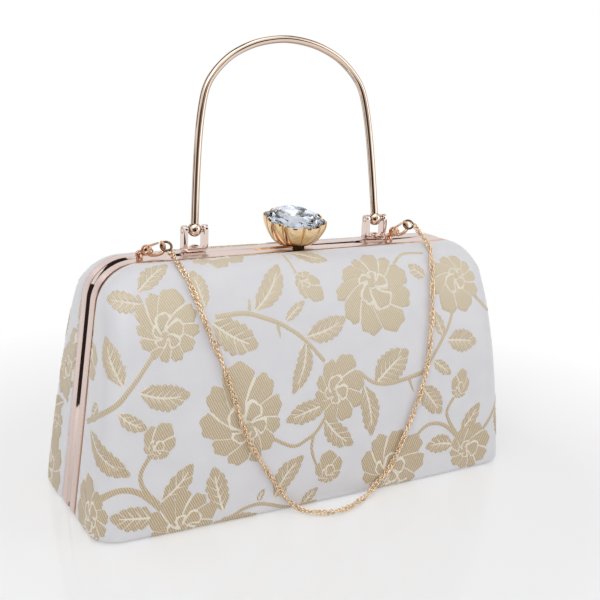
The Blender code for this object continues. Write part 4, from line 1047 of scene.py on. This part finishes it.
def eased(name, node, width, material, body, slot, segments=3):
    # a merged copy of a fitting whose sharp edges are rounded by width
    thing = newObject(name, nodes[node].data.copy())
    thing.data.materials.clear()
    thing.data.materials.append(material)
    bm = bmesh.new()
    bm.from_mesh(thing.data)
    bmesh.ops.remove_doubles(bm, verts=bm.verts, dist=1e-6)
    bmesh.ops.dissolve_limit(bm, angle_limit=math.radians(1), verts=bm.verts, edges=bm.edges)
    bm.to_mesh(thing.data)
    bm.free()
    edge = thing.modifiers.new("rounding", "BEVEL")
    edge.width = width
    edge.segments = segments
    edge.limit_method = "ANGLE"
    edge.angle_limit = math.radians(32)
    applyModifiers(thing)
    setOn(smoothed(thing, 30), body, slot, node)


for word in ("left", "right"):
    eased(f"stand_{word}", f"handle_bracket_{word}", 0.22 * mm, mirrorMetal, "back_half", "satin_frame")
    eased(f"trigger_{word}", f"lobster_trigger_{word}", 0.1 * mm, yellowMetal, f"trigger_{word}",
          "gold_fittings", 2)
fittings = (
    (mirrorMetal, ("handle_pin_left", "handle_pin_right", "bracket_rivet_left", "bracket_rivet_right")),
    (satinMetal, ("hinge_leaf_back", "hinge_leaf_front")),
    (steelMetal, ("hinge_pin", "clasp_housing", "clasp_pin", "clasp_spring", "clasp_keeper")),
    (shadowedStemMetal, ("clasp_lever",)),
    (shellPlastic, ("back_shell", "front_shell")),
)
for material, names in fittings:
    for name in names:
        nodes[name].material_slots[0].material = material


# Scalloped cup and its crystal
print("stage: cup and crystal")


def lobed(radius, z, share, sides=192, sharpness=0.55, shift=0.0):
    # a ring with eight full lobes and narrow creases between them, leaning to the front
    turn = math.radians(clasp["turn"]) + 2 * np.pi * (np.arange(sides) + shift) / sides
    phase = clasp["lobes"] / 2 * (turn - math.radians(clasp["turn"]))
    wave = radius + clasp["lobeDeep"] * share * (2 * np.abs(np.cos(phase)) ** sharpness - 1)
    lean = math.tan(math.radians(clasp["lean"])) * (z - clasp["cupZ"]) / clasp["high"]
    y = wave * np.sin(turn)
    return np.stack([wave * np.cos(turn), bag["seam"] + clasp["cupY"] + y, z + lean * y], -1)


outside = ((0.0, 0.0, 0.0), (0.13, 0.04, 0.1), (0.25, 0.1, 0.3), (0.36, 0.17, 0.5), (0.46, 0.25, 0.65),
           (0.6, 0.37, 0.8), (0.73, 0.5, 0.9), (0.84, 0.63, 0.97), (0.92, 0.75, 1.0), (0.97, 0.87, 1.0),
           (0.99, 0.96, 1.0))
rings = []
flare = clasp["rim"] - clasp["foot"]
for out, up, lobe in outside:
    rings.append(lobed(clasp["foot"] + flare * out, clasp["cupZ"] + clasp["high"] * up, lobe))
rim = clasp["cupZ"] + clasp["high"]
for inset, drop, lobe in ((0.06, 0.05, 1.0), (0.16, 0.0, 1.0), (0.3, 0.0, 1.0), (0.4, 0.1, 1.0),
                          (0.6, 0.6, 1.0), (1.3, 2.0, 0.95), (5.3, 5.45, 0.0)):
    rings.append(lobed(clasp["rim"] - inset * mm, rim - drop * mm, lobe))
cup = loft("scalloped_cup", rings, [cupMetal], capped=True, sharp=38)
carve(cup, stemRoom(clasp["cupZ"] - mm, clasp["cupZ"] + clasp["hole"]))
cup.data.set_sharp_from_angle(angle=math.radians(38))
setOn(cup, "clasp", "gold_fittings", "clasp_cup")

stone = {
    "girdle": 11.9 * mm, "floor": 110.35 * mm, "edge": 114.75 * mm, "belt": 0.7 * mm, "top": 118.5 * mm,
    # radius and height share of each ring above the girdle, half-step turn and how much it is lobed
    "crown": ((0.97, 0.12, 0, 1.0), (0.8, 0.6, 0.5, 0.0), (0.6, 0.9, 0, 0.0), (0.44, 1.0, 0.5, 0.0)),
}
sides = 2 * clasp["lobes"]
girdleTop = stone["edge"] + stone["belt"]
rows = [(0.3, stone["floor"], 0.5, 0.0), (0.66, stone["floor"] + 1.6 * mm, 0, 0.4),
        (1.0, stone["edge"], 0, 1.0), (1.0, girdleTop, 0, 1.0)]
for radius, up, shift, lobe in stone["crown"]:
    rows.append((radius, girdleTop + (stone["top"] - girdleTop) * up, shift, lobe))
points = np.concatenate([lobed(radius * stone["girdle"], z, lobe, sides, 1.0, shift)
                         for radius, z, shift, lobe in rows])
faces, pick = [], []
for k in range(len(rows) - 1):
    shift = rows[k + 1][2] - rows[k][2]
    for n in range(sides):
        a, b = k * sides + n, k * sides + (n + 1) % sides
        c, d = (k + 1) * sides + (n + 1) % sides, (k + 1) * sides + n
        faces += [(a, b, d), (b, c, d)] if shift > 0 else [(a, c, d), (a, b, c)]
        pick += [1 if k < 2 else 0] * 2
faces += [tuple(range(sides))[::-1], tuple(range((len(rows) - 1) * sides, len(rows) * sides))]
pick += [1, 0]
crystal = makePiece("cut_stone", points, faces, [crystalGlass, foilBack], pick=pick)
tidyMesh(crystal)
crystal.data.polygons.foreach_set("use_smooth", np.zeros(len(crystal.data.polygons), bool))
setOn(crystal, "clasp", "crystal", "clasp_crystal")


# Staples, snap clasps and jump rings
print("stage: chain fittings")
snap = {
    "y": -4 * mm, "rise": 2.3 * mm, "half": 1.9 * mm, "eye": 1.3 * mm, "eyeWire": 0.45 * mm,
    "long": 10.5 * mm, "hookWire": 0.72 * mm, "hookHalf": 2.3 * mm,
    "blade": ((0, 0), (0.11, 0.08), (0.22, -0.22), (0.37, -0.75), (0.68, -1.0), (0.91, -0.75), (1, 0),
              (0.98, 0.6), (0.89, 1.0)),  # the hook's line as shares of its length and half height
    "block": (2.5 * mm, 1.8 * mm, 1.35 * mm), "blockAt": 3.3 * mm,
    "cheek": (1.9 * mm, 0.5 * mm, 1.7 * mm), "cheekAt": (3.2 * mm, 1.05 * mm, 1.1 * mm),
    "ring": 2.1 * mm, "ringWire": 0.5 * mm, "ringTip": 45, "stapleWire": 0.62 * mm,
    "sunk": 1.2 * mm,  # how deep the staple's legs go
    "left": (-71 * mm, 12, 80), "right": (47 * mm, 25, 30),  # across, tilt, where the chain leaves the ring
}
chainLook = {"wide": 2.0 * mm, "spacing": 1.0 * mm, "twist": 11.5 * mm, "long": 3.0 * mm,
             "across": 1.65 * mm, "wire": 0.27 * mm, "slant": 34, "cross": 48, "pastRing": 0.4 * mm}
chainEnds = {}
for word in ("left", "right"):
    x, tiltDegrees, leave = snap[word]
    tilt = Matrix.Rotation(math.radians(-tiltDegrees), 3, "Y")
    eyePlace = Vector((x, bag["seam"] + snap["y"], bag["height"] + snap["rise"]))

    def place(u, w, out=0.0):
        return eyePlace + tilt @ Vector((u, 0, w)) + Vector((0, out, 0))

    crown = bag["height"] + snap["rise"]
    leg = bag["seam"] + snap["y"] - snap["half"]
    bend = snap["half"] * 0.5
    shape = [(leg, bag["height"] - snap["sunk"]), (leg, crown - bend * 1.2),
             (leg + bend * 0.35, crown - bend * 0.3), (leg + bend, crown), (leg + 1.6 * bend, crown)]
    shape += [(2 * (bag["seam"] + snap["y"]) - y, z) for y, z in reversed(shape)]
    route = [(x, y, z) for y, z in alongCurve(shape, 30)]
    setOn(roundWire("staple_" + word, route, snap["stapleWire"], yellowMetal), "front_half",
          "gold_fittings", "chain_loop_" + word)

    circle = [2 * math.pi * k / 32 for k in range(32)]
    eyeRing = [place(snap["eye"] * math.cos(a), snap["eye"] * math.sin(a)) for a in circle]
    run = snap["long"] - snap["eye"]
    route = [place(snap["eye"] + run * u, snap["hookHalf"] * w) for u, w in snap["blade"]]
    parts = [roundWire("eye", eyeRing, snap["eyeWire"], yellowMetal, True, 4),
             roundWire("hook", alongCurve(route, 44), snap["hookWire"], yellowMetal, False, 4),
             ballAt("block", place(snap["blockAt"], 0), snap["block"], yellowMetal, tilt, 28)]
    u, out, w = snap["cheekAt"]
    for s in (-1, 1):
        parts.append(ballAt("cheek", place(u, w, s * out), snap["cheek"], yellowMetal, tilt, 24))
    setOn(joined("snap_body_" + word, parts, yellowMetal, 50), "front_half", "gold_fittings",
          "lobster_body_" + word)

    clear = snap["ring"] - snap["ringWire"] - snap["hookWire"]
    middle = place(snap["long"] + clear, 0)
    along = (place(1, 0) - place(0, 0)).normalized()
    upward = (place(0, 1) - place(0, 0)).normalized()
    tip = math.radians(snap["ringTip"])
    outward = Vector((0, -1, 0)) * math.cos(tip) - upward * math.sin(tip)

    def ringSpot(angle, radius):
        return middle + radius * (along * math.cos(angle) + outward * math.sin(angle))

    ring = roundWire("jump_ring_" + word, [ringSpot(a, snap["ring"]) for a in circle], snap["ringWire"],
                     darkReflectionMetal, True, 5)
    setOn(ring, "front_half", "polished_metal", "chain_ring_" + word)
    # the end link holds the ring
    chainEnds[word] = ringSpot(math.radians(leave), snap["ring"] + chainLook["pastRing"])


# Chain: links set along its path by geometry nodes
print("stage: chain")
chainDown = (
    (0.102, 0.996), (0.116, 0.951), (0.127, 0.893), (0.146, 0.806), (0.168, 0.728), (0.195, 0.641),
    (0.229, 0.519), (0.263, 0.383), (0.305, 0.282), (0.356, 0.189), (0.403, 0.107), (0.441, 0.049),
)
chainFloor = (
    (0.479, 4.1 * mm), (0.508, 8.1 * mm), (0.551, 11.1 * mm), (0.597, 11.9 * mm), (0.648, 10.7 * mm),
    (0.703, 7.7 * mm), (0.758, 4.4 * mm),
)
chainUp = (
    (0.809, 0.041), (0.864, 0.097), (0.907, 0.189), (0.953, 0.306), (0.995, 0.417), (1.027, 0.544),
    (1.047, 0.665), (1.062, 0.767), (1.079, 0.859), (1.104, 0.947), (1.120, 0.990),
)


def chainPoint(share, rise=None, out=None):
    x = snap["left"][0] + share * (snap["right"][0] - snap["left"][0])
    if out is not None:
        return (x, bag["seam"] - bag["depth"] - out, chainLook["wide"] / 2 + 2 * fit)
    gap = chainLook["wide"] / 2 + fit
    z = rise * bag["height"]
    bulge = math.sqrt(1 - min(z / (bag["height"] + gap), 1) ** bag["power"])
    foot = bag["foot"] + gap
    low = max(foot - gap - z, 0)
    inset = foot - math.sqrt(foot * foot - low * low)
    return (x, bag["seam"] - bag["rim"] - (bag["depth"] + gap - bag["rim"] - inset) * bulge, z)


route = [tuple(chainEnds["left"])] + [chainPoint(s, rise=r) for s, r in chainDown]
route += [chainPoint(s, out=o) for s, o in chainFloor]
route += [chainPoint(s, rise=r) for s, r in chainUp] + [tuple(chainEnds["right"])]
chain = curveObject("chain", alongCurve(route, 400))

tree = bpy.data.node_groups.new("links along a path", "GeometryNodeTree")
tree.interface.new_socket("Path", in_out="INPUT", socket_type="NodeSocketGeometry")
sizes = {"Spacing": chainLook["spacing"], "Link length": chainLook["long"], "Link width": chainLook["across"],
         "Wire radius": chainLook["wire"], "Slant": math.radians(chainLook["slant"]),
         "Twist per link": math.pi * chainLook["spacing"] / chainLook["twist"],
         "Cross angle": math.radians(chainLook["cross"])}
for name, value in sizes.items():
    tree.interface.new_socket(name, in_out="INPUT", socket_type="NodeSocketFloat").default_value = value
tree.interface.new_socket("Metal", in_out="INPUT", socket_type="NodeSocketMaterial")
tree.interface.new_socket("Chain", in_out="OUTPUT", socket_type="NodeSocketGeometry")
given = addNode(tree, "NodeGroupInput").outputs
spaced = addNode(tree, "GeometryNodeResampleCurve", {"Curve": given["Path"], "Length": given["Spacing"]},
                 mode="LENGTH")
spots = addNode(tree, "GeometryNodeCurveToPoints", {"Curve": spaced}, mode="EVALUATED")
ring = addNode(tree, "GeometryNodeCurvePrimitiveCircle", {"Resolution": 10, "Radius": 0.5})
oval = addNode(tree, "ShaderNodeCombineXYZ", {"X": given["Link width"], "Y": given["Link length"], "Z": 1.0})
stretchedRing = addNode(tree, "GeometryNodeTransform", {"Geometry": ring, "Scale": oval})
wire = addNode(tree, "GeometryNodeCurvePrimitiveCircle", {"Resolution": 5, "Radius": given["Wire radius"]})
link = addNode(tree, "GeometryNodeCurveToMesh", {"Curve": stretchedRing, "Profile Curve": wire})
lean = addNode(tree, "ShaderNodeCombineXYZ", {"X": 0.0, "Y": 0.0, "Z": given["Slant"]})
slanted = addNode(tree, "GeometryNodeTransform", {"Geometry": link, "Rotation": lean})
upright = addNode(tree, "GeometryNodeTransform", {"Geometry": slanted, "Rotation": (math.pi / 2, 0, 0)})
number = addNode(tree, "GeometryNodeInputIndex")
second = addNode(tree, "ShaderNodeMath", {0: number, 1: 2.0}, operation="MODULO")
crossed = addNode(tree, "ShaderNodeMath", {0: second, 1: given["Cross angle"]}, operation="MULTIPLY")
spun = addNode(tree, "ShaderNodeMath", {0: number, 1: given["Twist per link"], 2: crossed},
               operation="MULTIPLY_ADD")
spinTurn = addNode(tree, "ShaderNodeCombineXYZ", {"X": 0.0, "Y": 0.0, "Z": spun})
spin = addNode(tree, "FunctionNodeEulerToRotation", {"Euler": spinTurn})
along = spots.outputs["Rotation"]
turned = addNode(tree, "FunctionNodeRotateRotation", {"Rotation": along, "Rotate By": spin},
                 rotation_space="LOCAL")
links = addNode(tree, "GeometryNodeInstanceOnPoints", {"Points": spots, "Instance": upright,
                                                       "Rotation": turned})
real = addNode(tree, "GeometryNodeRealizeInstances", {"Geometry": links})
smooth = addNode(tree, "GeometryNodeSetShadeSmooth", {"Geometry": real})
painted = addNode(tree, "GeometryNodeSetMaterial", {"Geometry": smooth, "Material": given["Metal"]})
addNode(tree, "NodeGroupOutput", {"Chain": painted})
step = chain.modifiers.new("links", "NODES")
step.node_group = tree
for item in tree.interface.items_tree:
    if item.item_type == "SOCKET" and item.in_out == "INPUT" and item.name == "Metal":
        step[item.identifier] = chainMetal
chainPiece = meshOf("twisted_chain", chain)
print("   chain", len(chainPiece.data.polygons), "faces")
setOn(chainPiece, "front_half", "chain_gold", "chain")

print("stage: finish")
low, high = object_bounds()
